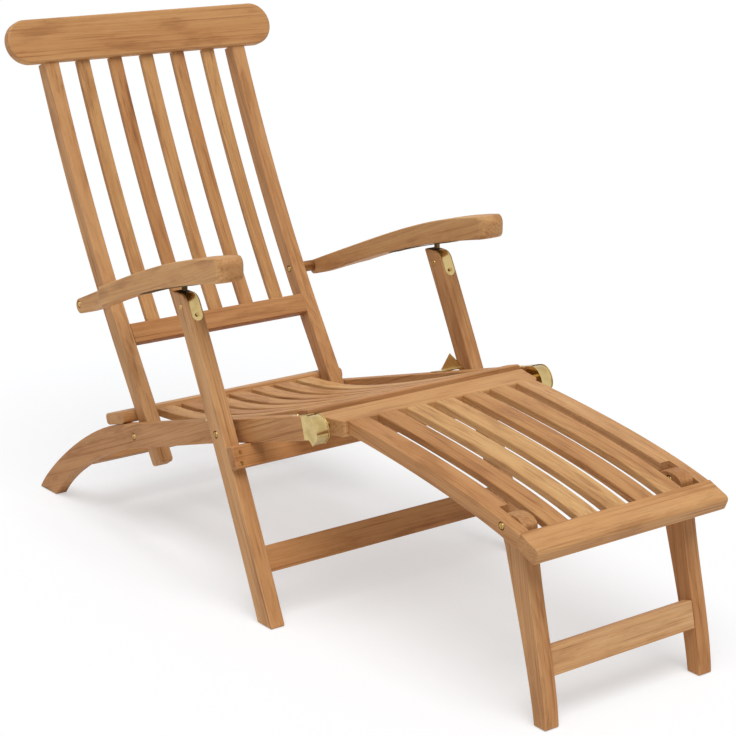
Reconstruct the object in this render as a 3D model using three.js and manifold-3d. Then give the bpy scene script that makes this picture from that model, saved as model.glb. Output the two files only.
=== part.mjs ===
// Folding teak steamer chair: a slatted seat on sabre rear legs, a curved reclining back,
// arms that hook on the front leg frame, and a footrest with its own folding legs.
// Millimetres, with the footrest towards -Y and +Z up. Left and right are as seen from the
// footrest end, so left is -X. Timbers are drawn in the side plane (y, z) or face on.

import * as THREE from 'three';
import { mergeVertices } from 'three/addons/utils/BufferGeometryUtils.js';
import Module from 'manifold-3d';

const wasm = await Module();
wasm.setup();

const degree = Math.PI / 180;

// Fits between pieces
const jointGap = 0.3;
const pinGap = 0.4;
const overrun = 20;
const easedArris = 2;

// Seat frame: two side rails that run on into sabre rear legs
const seatTilt = 15.6 * degree;
const legPivotHeight = 312;
const seatHalfWidth = 262;
const railThickness = 26;
const railRise = 20.5;
const railDrop = 22.3;
const noseReach = 240;
const noseTopReach = 6;
const noseTopHandle = 15;
const noseFront = 19.5;
const noseFrontDrop = 8;
const noseFrontHandle = 15;
const noseHeel = 4;
const backPivotReach = 365;
const backPivotDrop = 4;
const railTaperReach = 100;
const sabreTopReach = 414;
const sabreUnderReach = 395;
const sabreUnderDrop = 28;
const heelReach = 743;
const footLength = 66;
const sabreTopHandle = 150;
const sabreHeelHandle = 48.5;
const sabreUnderHandle = 45;
const sabreToeHandle = 118;
const heelSlope = 59.4 * degree;
const toeSlope = 50.7 * degree;

// Seat slats and the two boards that carry them
const seatSlatCount = 7;
const seatSlatPitch = 55;
const seatSlatWidth = 38;
const seatSlatThickness = 16;
const slatRearRise = 38;
const slatDipRise = 12;
const slatFrontRise = 26;
const slatDipReach = 175;
const slatDipHandleShare = 0.42;
const slatEndHandleShare = 0.3;
const slatRearSlope = 12 * degree;
const slatFrontSlope = 3 * degree;
const frontRailReach = 170;
const frontRailWidth = 33.5;
const frontRailDepth = 30;
const rearBoardWidth = 66;
const rearBoardThickness = 23;
const rearBoardRounding = 8;
const stretcherShare = 0.5;
const stretcherDepth = 44;
const stretcherThickness = 22;

// Reclining back
const backLean = 32.3 * degree;
const backRadius = 3360;
const stileStraight = 160;
const stileWidth = 30;
const stileDepth = 33;
const stileGap = 3;
const stileTail = 64;
const stileTailRounding = 9;
const stileLength = 756;
const lowerRailReach = 177;
const lowerRailHeight = 40;
const lowerRailThickness = 25;
const topRailHalfLength = 305;
const topRailHeight = 87;
const topRailThickness = 21;
const topRailProud = 6;
const backSlatCount = 5;
const backSlatPitch = 73;
const backSlatWidth = 28.5;
const backSlatThickness = 12;
const backSlatSetback = 5;

// Arms
const armPivotReach = 276;
const armWidth = 54;
const armSpacerLength = 29.5;
const armEndRadius = 14.5;
const armRise = 194.5;
const armReach = 554;
const armEndReach = -2.7;
const armEndDrop = 3;
const armFrontDepth = 43;
const armTopRearHandle = 330;
const armTopFrontHandle = 165;
const armTopRearSlope = 21.9 * degree;
const armTopFrontSlope = 9.2 * degree;
const armUnderRearHandle = 90;
const armUnderFrontHandle = 320;
const armUnderRearSlope = 14 * degree;
const armUnderFrontSlope = 10.9 * degree;
const armNoseBulge = 22;
const armTongueReach = 128;
const armFilletLength = 75;
const armFilletShare = 0.3;
const armTongueNarrowing = 28;
const armGrooveDepth = 12;
const armGrooveWidth = 15;
const notchPlateWidth = 24;
const notchPlateThickness = 1.6;
const notchPlateGap = 0.7;
const notchPlateLead = 52;
const notchPlateTail = 22;
const notchPitch = 38;
const notchCount = 4;
const notchFrontGap = 3.5;
const notchRearGap = 1;
const notchSideGap = 2;

// Front leg frame
const legThickness = 29;
const legGap = 9;
const legDepth = 44.4;
const legPivotSetback = 3.4;
const legFootSlope = 0.43;
const legTopSlope = 0.517;
const legRise = 233;
const legTopRadius = 24;
const upperBraceHeight = 49;
const upperBraceThickness = 19;
const lowerBraceFoot = 89;
const lowerBraceHeight = 47;
const lowerBraceThickness = 20;
const braceInset = 2;

// Brass hook on each leg top
const hookWidth = 24;
const hookThickness = 2.5;
const hookDrop = 40;
const hookLugLength = 9;
const hookLugHeight = 12;
const hookLugReach = 8;
const hookTailReach = 25;
const hookLugWidth = 7;

// Brass caps on the rail noses and brass gussets on the rails
const capThickness = 1.5;
const capBack = 20;
const capSideDrop = 20.6;
const capChin = 16;
const capChinDrop = 22;
const capLip = 1;
const capLipDrop = 32;
const capLipRear = 10;
const capTabReach = 50;
const capTabWidth = 20;
const gussetLength = 73;
const gussetHeight = 32;
const gussetApexShare = 0.5;
const gussetStart = 2;
const gussetFlangeStart = 26;
const gussetThickness = 2;
const gussetBaseWidth = 18;

// Footrest
const hingeRailFront = 33;
const hingeRailRear = 32;
const hingeRailTop = 10.5;
const hingeRailUnder = 18.5;
const hingeRailHalfLength = 231;
const hingeRailChamfer = 20;
const footRailHalfWidth = 205;
const footRailWidth = 41;
const footSlatCount = 5;
const footSlatPitch = 61.5;
const footSlatWidth = 41;
const footrestReach = 513;
const footrestDrop = 76.5;
const footHingeSlope = 0.09;
const footEndSlope = 0.42;
const footHingeHandle = 190;
const footEndHandle = 95;
const footRailDepthAtHinge = 25;
const footRailDepthAtFoot = 29;
const footFrontRailWidth = 48;
const footFrontRailThickness = 28;
const footFrontRailRounding = 7;

// Footrest legs, on bolts through the footrest's side rails
const footLegPivotReach = 425;
const footLegPivotDrop = 59.5;
const footLegKnuckle = 28;
const footLegThickness = 29;
const footLegInset = 22;
const footLegToeReach = 513;
const footLegFootLength = 28;
const footLegShinHandle = 91;
const footLegToeHandle = 95;
const footLegCalfHandle = 84;
const footLegHeelHandle = 81;
const footLegShinSlope = 2.5 * degree;
const footLegToeSlope = 4.2 * degree;
const footLegCalfSlope = 15.2 * degree;
const footLegHeelSlope = 9.2 * degree;
const footLegBraceShare = 0.667;
const footLegBraceHeight = 47;
const footLegBraceThickness = 18;
const reliefLead = 36;
const reliefGap = 0.8;

// Fixings
const boltRadius = 4;
const boltHeadRadius = 6.5;
const boltHeadThickness = 3;
const collarRadius = 11;
const pinRadius = 5;
const pinDepth = 18;

// Joinery
const tenonLength = 12;
const tenonShoulder = 5;
const tenonCheek = 4;

const teak = { color: 0xb98c5f, roughness: 0.62, metalness: 0 };
const brass = { color: 0xb9a56e, roughness: 0.3, metalness: 1 };

const sides = [
  { name: 'left', sign: -1 },
  { name: 'right', sign: 1 },
];

// Points and directions in the side plane, where x stands for y and y for z
const at = (y, z) => new THREE.Vector2(y, z);
const heading = (angle) => at(Math.cos(angle), Math.sin(angle));
const move = (from, direction, distance) => from.clone().addScaledVector(direction, distance);
const middle = (a, b) => a.clone().add(b).multiplyScalar(0.5);

// Solid from a closed geometry
function solidOf(geometry) {
  const bare = geometry.index ? geometry.toNonIndexed() : geometry.clone();
  bare.deleteAttribute('normal');
  bare.deleteAttribute('uv');
  const merged = mergeVertices(bare, 1e-5);
  return new wasm.Manifold(new wasm.Mesh({
    numProp: 3,
    vertProperties: Float32Array.from(merged.attributes.position.array),
    triVerts: Uint32Array.from(merged.index.array),
  }));
}

// Mesh from a solid
function meshOf(name, solid, material) {
  const { vertProperties, triVerts, numProp } = solid.getMesh();
  const geometry = new THREE.BufferGeometry();
  const count = vertProperties.length / numProp;
  const position = new Float32Array(count * 3);
  for (let i = 0; i < count; i += 1) {
    position.set(vertProperties.subarray(i * numProp, i * numProp + 3), i * 3);
  }
  geometry.setAttribute('position', new THREE.BufferAttribute(position, 3));
  geometry.setIndex(new THREE.BufferAttribute(Uint32Array.from(triVerts), 1));
  geometry.computeVertexNormals();
  const mesh = new THREE.Mesh(geometry, new THREE.MeshStandardMaterial(material));
  mesh.name = name;
  return mesh;
}

// Extrusion of a side-plane outline between two X faces, with its long arrises eased
function board(outline, xFrom, xTo, ease = 0, steps = 3) {
  const geometry = new THREE.ExtrudeGeometry(outline, {
    depth: xTo - xFrom - 2 * ease,
    bevelEnabled: ease > 0,
    bevelThickness: ease,
    bevelSize: ease,
    bevelOffset: -ease,
    bevelSegments: 1,
    curveSegments: steps,
  });
  geometry.translate(0, 0, xFrom + ease);
  geometry.applyMatrix4(new THREE.Matrix4().makeBasis(
    new THREE.Vector3(0, 1, 0), new THREE.Vector3(0, 0, 1), new THREE.Vector3(1, 0, 0)));
  return solidOf(geometry);
}

// Extrusion of an outline drawn in X and a direction of the side plane, square to both
function panel(outline, origin, upward, thickness, ease = 0, steps = 6) {
  const geometry = new THREE.ExtrudeGeometry(outline, {
    depth: thickness - 2 * ease,
    bevelEnabled: ease > 0,
    bevelThickness: ease,
    bevelSize: ease,
    bevelOffset: -ease,
    bevelSegments: 1,
    curveSegments: steps,
  });
  geometry.translate(0, 0, ease);
  const up = new THREE.Vector3(0, upward.x, upward.y);
  const across = new THREE.Vector3(1, 0, 0);
  const out = new THREE.Vector3().crossVectors(across, up);
  geometry.applyMatrix4(new THREE.Matrix4().makeBasis(across, up, out));
  geometry.translate(0, origin.x, origin.y);
  return solidOf(geometry);
}

// Outline of a rectangle from one corner along a direction and its left-hand normal
function rectangle(corner, direction, length, height) {
  const normal = at(-direction.y, direction.x);
  const far = move(corner, direction, length);
  return new THREE.Shape([corner, far, move(far, normal, height), move(corner, normal, height)]);
}

// The same with rounded corners
function roundedRectangle(corner, direction, length, height, radius) {
  const normal = at(-direction.y, direction.x);
  const spot = (a, b) => move(move(corner, direction, a), normal, b);
  const shape = new THREE.Shape();
  const go = (a, b) => { const p = spot(a, b); shape.lineTo(p.x, p.y); };
  const turn = (ca, cb, a, b) => {
    const c = spot(ca, cb);
    const p = spot(a, b);
    shape.quadraticCurveTo(c.x, c.y, p.x, p.y);
  };
  const start = spot(radius, 0);
  shape.moveTo(start.x, start.y);
  go(length - radius, 0);
  turn(length, 0, length, radius);
  go(length, height - radius);
  turn(length, height, length - radius, height);
  go(radius, height);
  turn(0, height, 0, height - radius);
  go(0, radius);
  turn(0, 0, radius, 0);
  return shape;
}

// Round bar along X
function bar(centre, radius, xFrom, xTo, facets = 10) {
  const geometry = new THREE.CylinderGeometry(radius, radius, xTo - xFrom, facets);
  geometry.rotateZ(-Math.PI / 2);
  geometry.translate((xFrom + xTo) / 2, centre.x, centre.y);
  return solidOf(geometry);
}

// Mirror copy of an X range
const range = (sign, near, far) => (sign > 0 ? [near, far] : [-far, -near]);

const seat = new THREE.Group();
const backrest = new THREE.Group();
const frontLegs = new THREE.Group();
const footrest = new THREE.Group();
const footrestLegs = new THREE.Group();

const add = (group, name, solid, material) => group.add(meshOf(name, solid, material));

// Seat frame coordinates: distance along the rail from the leg pivot, and above its axis
const legPivot = at(0, legPivotHeight);
const railRun = heading(-seatTilt);
const railUp = heading(Math.PI / 2 - seatTilt);
const onRail = (along, above) => move(move(legPivot, railRun, along), railUp, above);
const noseCentre = onRail(-noseReach, 0);
const backPivot = onRail(backPivotReach, -backPivotDrop);
const railInner = seatHalfWidth - railThickness;

// The two edges of the sabre leg, from the straight rail to the foot on the ground
const heel = at(heelReach, 0);
const toe = at(heelReach - footLength, 0);
const sabreTop = new THREE.CubicBezierCurve(
  onRail(sabreTopReach, railRise),
  onRail(sabreTopReach + sabreTopHandle, railRise),
  move(heel, heading(Math.PI - heelSlope), sabreHeelHandle),
  heel,
);
const taperStart = onRail(railTaperReach, -railDrop);
const taperEnd = onRail(sabreUnderReach, -sabreUnderDrop);
const sabreUnder = new THREE.CubicBezierCurve(
  taperEnd,
  move(taperEnd, taperEnd.clone().sub(taperStart).normalize(), sabreUnderHandle),
  move(toe, heading(Math.PI - toeSlope), sabreToeHandle),
  toe,
);

function curveTo(shape, curve, backwards = false) {
  const { v0, v1, v2, v3 } = curve;
  if (backwards) shape.bezierCurveTo(v2.x, v2.y, v1.x, v1.y, v0.x, v0.y);
  else shape.bezierCurveTo(v1.x, v1.y, v2.x, v2.y, v3.x, v3.y);
}

const lineTo = (shape, p) => shape.lineTo(p.x, p.y);

// The top of a rail runs forward and round the front of its nose
const fromNose = (along, above) => onRail(along - noseReach, above);

function noseRound(shape, inset) {
  const top = fromNose(noseTopReach, railRise - inset);
  const turnTop = fromNose(noseTopReach - noseTopHandle, railRise - inset);
  const turnFront = fromNose(inset - noseFront, noseFrontHandle - noseFrontDrop);
  const front = fromNose(inset - noseFront, -noseFrontDrop);
  lineTo(shape, top);
  shape.bezierCurveTo(turnTop.x, turnTop.y, turnFront.x, turnFront.y, front.x, front.y);
}

// Outline of a rail from its heel forward round the nose and back to the toe
function sideRailOutline() {
  const shape = new THREE.Shape();
  const chin = fromNose(-noseFront, -railDrop);
  const throat = fromNose(-noseHeel, -railDrop);
  shape.moveTo(heel.x, heel.y);
  curveTo(shape, sabreTop, true);
  noseRound(shape, 0);
  shape.quadraticCurveTo(chin.x, chin.y, throat.x, throat.y);
  lineTo(shape, taperStart);
  curveTo(shape, sabreUnder);
  return shape;
}

// A tenon stands on an end, and the mortise that takes it is larger by the joint gap all round
function tongue(end, direction, height, xFrom, xTo, extra = 0) {
  const normal = at(-direction.y, direction.x);
  const root = move(move(end, direction, -tenonShoulder), normal, -height / 2 - extra);
  const length = tenonShoulder + tenonLength + extra;
  return board(rectangle(root, direction, length, height + 2 * extra), xFrom - extra, xTo + extra);
}

// Back coordinates: distance up the front face of the stile from the pivot, and behind it.
// The stile is straight past the pivot and then bends back on an arc
const backNormal = (lean) => at(Math.cos(lean), -Math.sin(lean));
const leanAt = (along) => backLean - Math.max(0, along - stileStraight) / backRadius;
const backUp = (along) => heading(Math.PI / 2 - leanAt(along));
const straightBack = (along, behind) => move(
  move(backPivot, backUp(0), along), backNormal(backLean), behind - stileDepth / 2);
const backCentre = straightBack(stileStraight, -backRadius);
const onBack = (along, behind) => (along < stileStraight
  ? straightBack(along, behind)
  : move(backCentre, backNormal(leanAt(along)), backRadius + behind));
const stileOuter = railInner - stileGap;
const stileInner = stileOuter - stileWidth;
const armPivot = onBack(armPivotReach, stileDepth / 2);

// How far along the rail a point at a height above it first clears the reclined stiles
function reachBehindStiles(above) {
  const normal = backNormal(backLean);
  const short = stileDepth / 2 + jointGap - onRail(0, above).sub(backPivot).dot(normal);
  return short / railRun.dot(normal);
}

const boardSeat = railRise + jointGap;
const boardReach = reachBehindStiles(boardSeat + rearBoardThickness);
const slatRearReach = boardReach - jointGap;
const slatFrontReach = -frontRailReach + jointGap;

// Seat slat edge: a long dip under the sitter and a slow rise to the front rail
function slatEdge(drop) {
  const rear = onRail(slatRearReach, slatRearRise - drop);
  const dip = onRail(slatDipReach, slatDipRise - drop);
  const front = onRail(slatFrontReach, slatFrontRise - drop);
  const rearSpan = slatRearReach - slatDipReach;
  const frontSpan = slatDipReach - slatFrontReach;
  return [
    new THREE.CubicBezierCurve(
      rear,
      move(rear, heading(Math.PI - seatTilt + slatRearSlope), rearSpan * slatEndHandleShare),
      move(dip, railRun, rearSpan * slatDipHandleShare),
      dip,
    ),
    new THREE.CubicBezierCurve(
      dip,
      move(dip, railRun, -frontSpan * slatDipHandleShare),
      move(front, heading(-seatTilt - slatFrontSlope), frontSpan * slatEndHandleShare),
      front,
    ),
  ];
}

function seatSlatOutline() {
  const [topRear, topFront] = slatEdge(0);
  const [underRear, underFront] = slatEdge(seatSlatThickness);
  const shape = new THREE.Shape();
  shape.moveTo(topRear.v0.x, topRear.v0.y);
  curveTo(shape, topRear);
  curveTo(shape, topFront);
  lineTo(shape, underFront.v3);
  curveTo(shape, underFront, true);
  curveTo(shape, underRear, true);
  return shape;
}

const seatSlatXs = Array.from({ length: seatSlatCount },
  (_, i) => (i - (seatSlatCount - 1) / 2) * seatSlatPitch);

function seatSlatTenons(x, extra) {
  const half = seatSlatWidth / 2 - tenonCheek;
  const height = seatSlatThickness - 2 * tenonCheek;
  const rear = onRail(slatRearReach, slatRearRise - seatSlatThickness / 2);
  const front = onRail(slatFrontReach, slatFrontRise - seatSlatThickness / 2);
  const back = railRun.clone().negate();
  return tongue(rear, railRun, height, x - half, x + half, extra)
    .add(tongue(front, back, height, x - half, x + half, extra));
}

// Cross pieces of the seat run between the side rails, tenoned into their inner faces
function crossTenons(corner, direction, length, height, face, extra) {
  const normal = at(-direction.y, direction.x);
  const root = move(move(corner, direction, tenonShoulder - extra), normal, tenonShoulder - extra);
  const outline = rectangle(root, direction, length - 2 * (tenonShoulder - extra),
    height - 2 * (tenonShoulder - extra));
  const end = face + tenonLength + extra;
  return board(outline, -end, -face + tenonShoulder).add(board(outline, face - tenonShoulder, end));
}

const frontRailCorner = onRail(-frontRailReach - frontRailWidth, slatFrontRise - frontRailDepth);
const stretcherMiddle = middle(sabreTop.getPoint(stretcherShare), sabreUnder.getPoint(stretcherShare));
const stretcherRun = sabreTop.getTangent(stretcherShare)
  .add(sabreUnder.getTangent(stretcherShare)).normalize();
const stretcherUp = at(-stretcherRun.y, stretcherRun.x);
const stretcherCorner = move(move(stretcherMiddle, stretcherRun, -stretcherThickness / 2),
  stretcherUp, -stretcherDepth / 2);
const crossFace = railInner - jointGap;

const frontRailTenons = (extra) => crossTenons(
  frontRailCorner, railRun, frontRailWidth, frontRailDepth - tenonShoulder, crossFace, extra);
const stretcherTenons = (extra) => crossTenons(
  stretcherCorner, stretcherRun, stretcherThickness, stretcherDepth, crossFace, extra);

// Front leg edges lean back and bow a little; each is a parabola in z
const legHeight = legPivotHeight + legRise;
const legBow = (legTopSlope - legFootSlope) / (2 * legHeight);
const legLine = (z) => legFootSlope * (z - legPivotHeight)
  + legBow * (z * z - legPivotHeight * legPivotHeight) - legPivotSetback;
const legFront = (z) => at(legLine(z) - legDepth / 2, z);
const legRear = (z) => at(legLine(z) + legDepth / 2, z);
const legLeanAt = (z) => Math.atan(legFootSlope + 2 * legBow * z);
const legInner = seatHalfWidth + legGap;
const legOuter = legInner + legThickness;
const legMiddle = (legInner + legOuter) / 2;

function edgeCurve(shape, edge, from, to) {
  const half = (from + to) / 2;
  const start = edge(from);
  const end = edge(to);
  const slope = legFootSlope + 2 * legBow * from;
  shape.quadraticCurveTo(start.x + slope * (half - from), half, end.x, end.y);
}

// The leg top is rounded in front about the cross pin
const legTopAngle = legLeanAt(legHeight);
const legShoulder = legHeight - legTopRadius * (1 - Math.sin(legTopAngle));
const legShoulderPoint = legFront(legShoulder);
const hookPin = move(legShoulderPoint, heading(-legTopAngle), legTopRadius);
const legUp = heading(Math.PI / 2 - legTopAngle);
const legFrontNormal = heading(Math.PI - legTopAngle);

function legOutline() {
  const shape = new THREE.Shape();
  const foot = legFront(0);
  shape.moveTo(foot.x, foot.y);
  edgeCurve(shape, legFront, 0, legShoulder);
  shape.absarc(hookPin.x, hookPin.y, legTopRadius, Math.PI - legTopAngle, Math.PI / 2, true);
  lineTo(shape, legRear(legHeight));
  edgeCurve(shape, legRear, legHeight, 0);
  return shape;
}

// Upper brace: on the front faces of the legs, its top edge stopped by the rails' underside
const braceTop = -railDrop - jointGap;
const braceFoot = legPivotHeight - upperBraceHeight - legGap / 2;
const braceLean = legLeanAt(legPivotHeight);
const braceUp = heading(Math.PI / 2 - braceLean);
const braceFrontNormal = heading(Math.PI - braceLean);

function upperBraceOutline() {
  const lowRear = move(legFront(braceFoot), braceFrontNormal, jointGap);
  const fromPivot = lowRear.clone().sub(legPivot);
  const rise = (braceTop - fromPivot.dot(railUp)) / braceUp.dot(railUp);
  const highRear = move(lowRear, braceUp, rise);
  const forward = railRun.clone().negate();
  const highFront = move(highRear, forward, upperBraceThickness / forward.dot(braceFrontNormal));
  const lowFront = move(lowRear, braceFrontNormal, upperBraceThickness);
  return new THREE.Shape([lowRear, lowFront, highFront, highRear]);
}

// A flat bar standing on its foot along a direction, its thickness going back from the front face
function slab(foot, up, height, thickness) {
  const back = at(up.y, -up.x);
  const head = move(foot, up, height);
  return new THREE.Shape([foot, head, move(head, back, thickness), move(foot, back, thickness)]);
}

const lowerBraceUp = heading(Math.PI / 2 - legLeanAt(lowerBraceFoot));
const lowerBraceCorner = move(legFront(lowerBraceFoot), at(lowerBraceUp.y, -lowerBraceUp.x), braceInset);
const lowerBraceTenons = (extra) => crossTenons(
  move(lowerBraceCorner, at(lowerBraceUp.y, -lowerBraceUp.x), lowerBraceThickness),
  lowerBraceUp, lowerBraceHeight, lowerBraceThickness, legInner - jointGap, extra);

// Bolt along X with a head at its outer end and a nut at its inner end
function bolt(centre, sign, inner, outer) {
  return bar(centre, boltRadius, ...range(sign, inner, outer))
    .add(bar(centre, boltHeadRadius, ...range(sign, outer - boltHeadThickness, outer)))
    .add(bar(centre, boltHeadRadius, ...range(sign, inner, inner + boltHeadThickness)));
}

// Collar on a bolt that holds two timbers apart, and a loose sleeve that does the same
const collar = (centre, sign, near, far) => bar(centre, collarRadius,
  ...range(sign, near + jointGap, far - jointGap));
const sleeve = (centre, sign, near, far) => collar(centre, sign, near, far)
  .subtract(bar(centre, boltRadius + pinGap, ...range(sign, near, far)));

// Room for a bolt through a timber, and for its head or nut in one face
const boltHole = (centre, sign, near, far) => bar(
  centre, boltRadius + pinGap, ...range(sign, near - overrun, far + overrun));
const counterbore = (centre, sign, near, far) => bar(
  centre, boltHeadRadius + pinGap, ...range(sign, near, far));
const boltSink = boltHeadThickness + jointGap;

const both = (make) => sides.map(({ sign }) => make(sign)).reduce((a, b) => a.add(b));

// Brass hook: a strap up the leg front that rolls over the rounded top, with a lug for the arm
const hookInside = legTopRadius + jointGap;
const hookOutside = hookInside + hookThickness;
const hookTop = hookPin.y + hookOutside;
const lugMiddle = hookPin.x + hookLugReach;

function hookOutline() {
  const shape = new THREE.Shape();
  const low = move(hookPin, legUp, -hookDrop);
  const tail = hookPin.x + hookTailReach;
  const frontAngle = Math.PI - legTopAngle;
  const start = move(low, legFrontNormal, hookOutside);
  shape.moveTo(start.x, start.y);
  shape.absarc(hookPin.x, hookPin.y, hookOutside, frontAngle, Math.PI / 2, true);
  shape.lineTo(tail, hookTop);
  shape.lineTo(tail, hookTop - hookThickness);
  shape.absarc(hookPin.x, hookPin.y, hookInside, Math.PI / 2, frontAngle, false);
  lineTo(shape, move(low, legFrontNormal, hookInside));
  return shape;
}

function hook(sign) {
  const half = hookWidth / 2;
  const [from, to] = range(sign, legMiddle - half, legMiddle + half);
  const strap = board(hookOutline(), from, to, 0, 8);
  const face = new THREE.Shape();
  const middleX = sign * legMiddle;
  face.absarc(middleX, -hookDrop + half, half, Math.PI, 2 * Math.PI, false);
  face.lineTo(middleX + half, hookDrop);
  face.lineTo(middleX - half, hookDrop);
  const depth = hookOutside + hookTailReach + overrun;
  const origin = move(hookPin, legFrontNormal, hookOutside + overrun - depth);
  const trimmed = strap.intersect(panel(face, origin, legUp, depth, 0, 8));
  const lugFront = at(lugMiddle - hookLugLength / 2, hookTop - hookThickness / 2);
  const lug = board(slab(lugFront, at(0, 1), hookLugHeight + hookThickness / 2, hookLugLength),
    ...range(sign, legMiddle - hookLugWidth / 2, legMiddle + hookLugWidth / 2));
  return trimmed.add(lug);
}

// Brass stop on each leg: a gusset on the leg's inner face whose flange lands on the rail
const gussetOuter = legInner - jointGap;
const gussetInner = gussetOuter - gussetThickness;
const gussetFoot = railRise + jointGap;

function legStop(sign) {
  const apexReach = gussetStart + gussetLength * gussetApexShare;
  const ear = new THREE.Shape([
    onRail(gussetStart, gussetFoot),
    onRail(gussetStart + gussetLength, gussetFoot),
    onRail(apexReach, gussetFoot + gussetHeight),
  ]);
  const flange = rectangle(onRail(gussetFlangeStart, gussetFoot), railRun,
    gussetStart + gussetLength - gussetFlangeStart, gussetThickness);
  return board(ear, ...range(sign, gussetInner, gussetOuter))
    .add(board(flange, ...range(sign, seatHalfWidth - gussetBaseWidth, gussetOuter)));
}

// Arm: side profile cut by its plan, with a groove and a brass notch plate beneath
const armInner = stileOuter + armSpacerLength;
const armOuter = armInner + armWidth;
const armEnd = at(armPivot.x + armEndReach, armPivot.y - armEndDrop);
const armTopFront = at(armPivot.x - armReach, armPivot.y + armRise);
const armUnderFront = at(armTopFront.x, armTopFront.y - armFrontDepth);
const armTopRear = move(armEnd, heading(Math.PI / 2 - armTopRearSlope), armEndRadius);
const armUnderRear = move(armEnd, heading(-Math.PI / 2 - armUnderRearSlope), armEndRadius);
const armTop = new THREE.CubicBezierCurve(
  armTopRear,
  move(armTopRear, heading(Math.PI - armTopRearSlope), armTopRearHandle),
  move(armTopFront, heading(-armTopFrontSlope), armTopFrontHandle),
  armTopFront,
);
const armUnder = new THREE.CubicBezierCurve(
  armUnderRear,
  move(armUnderRear, heading(Math.PI - armUnderRearSlope), armUnderRearHandle),
  move(armUnderFront, heading(-armUnderFrontSlope), armUnderFrontHandle),
  armUnderFront,
);

// Share of a curve that runs forward at which it passes a y
function shareAt(curve, y) {
  let low = 0;
  let high = 1;
  while (high - low > 1e-6) {
    const mid = (low + high) / 2;
    if (curve.getPoint(mid).x > y) low = mid;
    else high = mid;
  }
  return (low + high) / 2;
}

// Band that follows the arm's underside between two y, from one height above it to another
function underBand(rearY, frontY, low, high, steps = 6) {
  const from = shareAt(armUnder, rearY);
  const to = shareAt(armUnder, frontY);
  const spots = Array.from({ length: steps + 1 }, (_, i) => from + (to - from) * i / steps);
  const edge = (offset) => spots.map((share) => {
    const run = armUnder.getTangent(share);
    return move(armUnder.getPoint(share), at(-run.y, run.x).negate(), offset);
  });
  return new THREE.Shape([...edge(low), ...edge(high).reverse()]);
}

const plateFront = lugMiddle - notchPlateLead;
const plateRear = lugMiddle + notchPitch * (notchCount - 1) + notchPlateTail;

function armBlank(sign) {
  const side = new THREE.Shape();
  side.absarc(armEnd.x, armEnd.y, armEndRadius,
    -Math.PI / 2 - armUnderRearSlope, Math.PI / 2 - armTopRearSlope, false);
  curveTo(side, armTop);
  lineTo(side, armUnderFront);
  curveTo(side, armUnder, true);
  const plan = new THREE.Shape();
  const tongueOuter = armOuter - armTongueNarrowing;
  const shoulder = armPivot.x - armTongueReach;
  const noseY = armTopFront.x;
  const spot = (x, y) => [sign * x, y];
  plan.moveTo(...spot(armInner, armEnd.x + overrun));
  plan.lineTo(...spot(tongueOuter, armEnd.x + overrun));
  plan.lineTo(...spot(tongueOuter, shoulder + armFilletLength));
  plan.quadraticCurveTo(...spot(tongueOuter, shoulder + armFilletLength * armFilletShare),
    ...spot(armOuter, shoulder));
  plan.lineTo(...spot(armOuter, noseY + armNoseBulge));
  plan.quadraticCurveTo(...spot(armOuter - easedArris, noseY), ...spot((armInner + armOuter) / 2, noseY));
  plan.quadraticCurveTo(...spot(armInner + easedArris, noseY), ...spot(armInner, noseY + armNoseBulge));
  const block = new THREE.ExtrudeGeometry(plan, {
    depth: armRise + armFrontDepth + 2 * overrun, bevelEnabled: false, curveSegments: 4 });
  block.translate(0, 0, armPivot.y - armFrontDepth - overrun);
  return board(side, ...range(sign, armInner, armOuter), easedArris, 8).intersect(solidOf(block));
}

function armGroove(sign) {
  const outline = underBand(plateRear - notchPlateTail / 2, plateFront + notchPlateLead / 2,
    -overrun, armGrooveDepth);
  return board(outline, ...range(sign, legMiddle - armGrooveWidth / 2, legMiddle + armGrooveWidth / 2));
}

function notchPlate(sign) {
  const outline = underBand(plateRear, plateFront, -notchPlateGap - notchPlateThickness, -notchPlateGap);
  const half = notchPlateWidth / 2;
  let plate = board(outline, ...range(sign, legMiddle - half, legMiddle + half));
  for (let i = 0; i < notchCount; i += 1) {
    const y = lugMiddle + notchPitch * i;
    const front = y - hookLugLength / 2 - notchFrontGap;
    const rear = y + hookLugLength / 2 + notchRearGap;
    const wide = hookLugWidth / 2 + notchSideGap;
    const low = armUnder.getPoint(shareAt(armUnder, y)).y - overrun;
    const outlineSlot = slab(at(front, low), at(0, 1), 2 * overrun, rear - front);
    plate = plate.subtract(board(outlineSlot, ...range(sign, legMiddle - wide, legMiddle + wide)));
  }
  return plate;
}

// Brass cap let into the nose of a side rail: a band from a tab on the rail's top round the
// front to a pointed lip underneath, twice as thick, with a side plate on each face
function capOutline(inset, back) {
  const shape = new THREE.Shape();
  const start = fromNose(back, railRise - inset);
  shape.moveTo(start.x, start.y);
  noseRound(shape, inset);
  lineTo(shape, fromNose(inset - capChin, -capChinDrop));
  lineTo(shape, fromNose(inset * 2 - capLip, -capLipDrop));
  return shape;
}

function capSideOutline() {
  const shape = capOutline(0, capBack);
  const turn = fromNose(capLipRear / 2, -capSideDrop);
  const rear = fromNose(capLipRear, -capSideDrop);
  shape.quadraticCurveTo(turn.x, turn.y, rear.x, rear.y);
  lineTo(shape, fromNose(capBack, -capSideDrop));
  return shape;
}

// Room inside the cap, down past its lip and back past its side plates
function capCore(sign, inset) {
  const back = capBack + overrun;
  const shape = capOutline(inset, back);
  lineTo(shape, fromNose(back, -capLipDrop));
  return board(shape, ...range(sign, railInner + inset, seatHalfWidth - inset), 0, 6);
}

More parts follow.
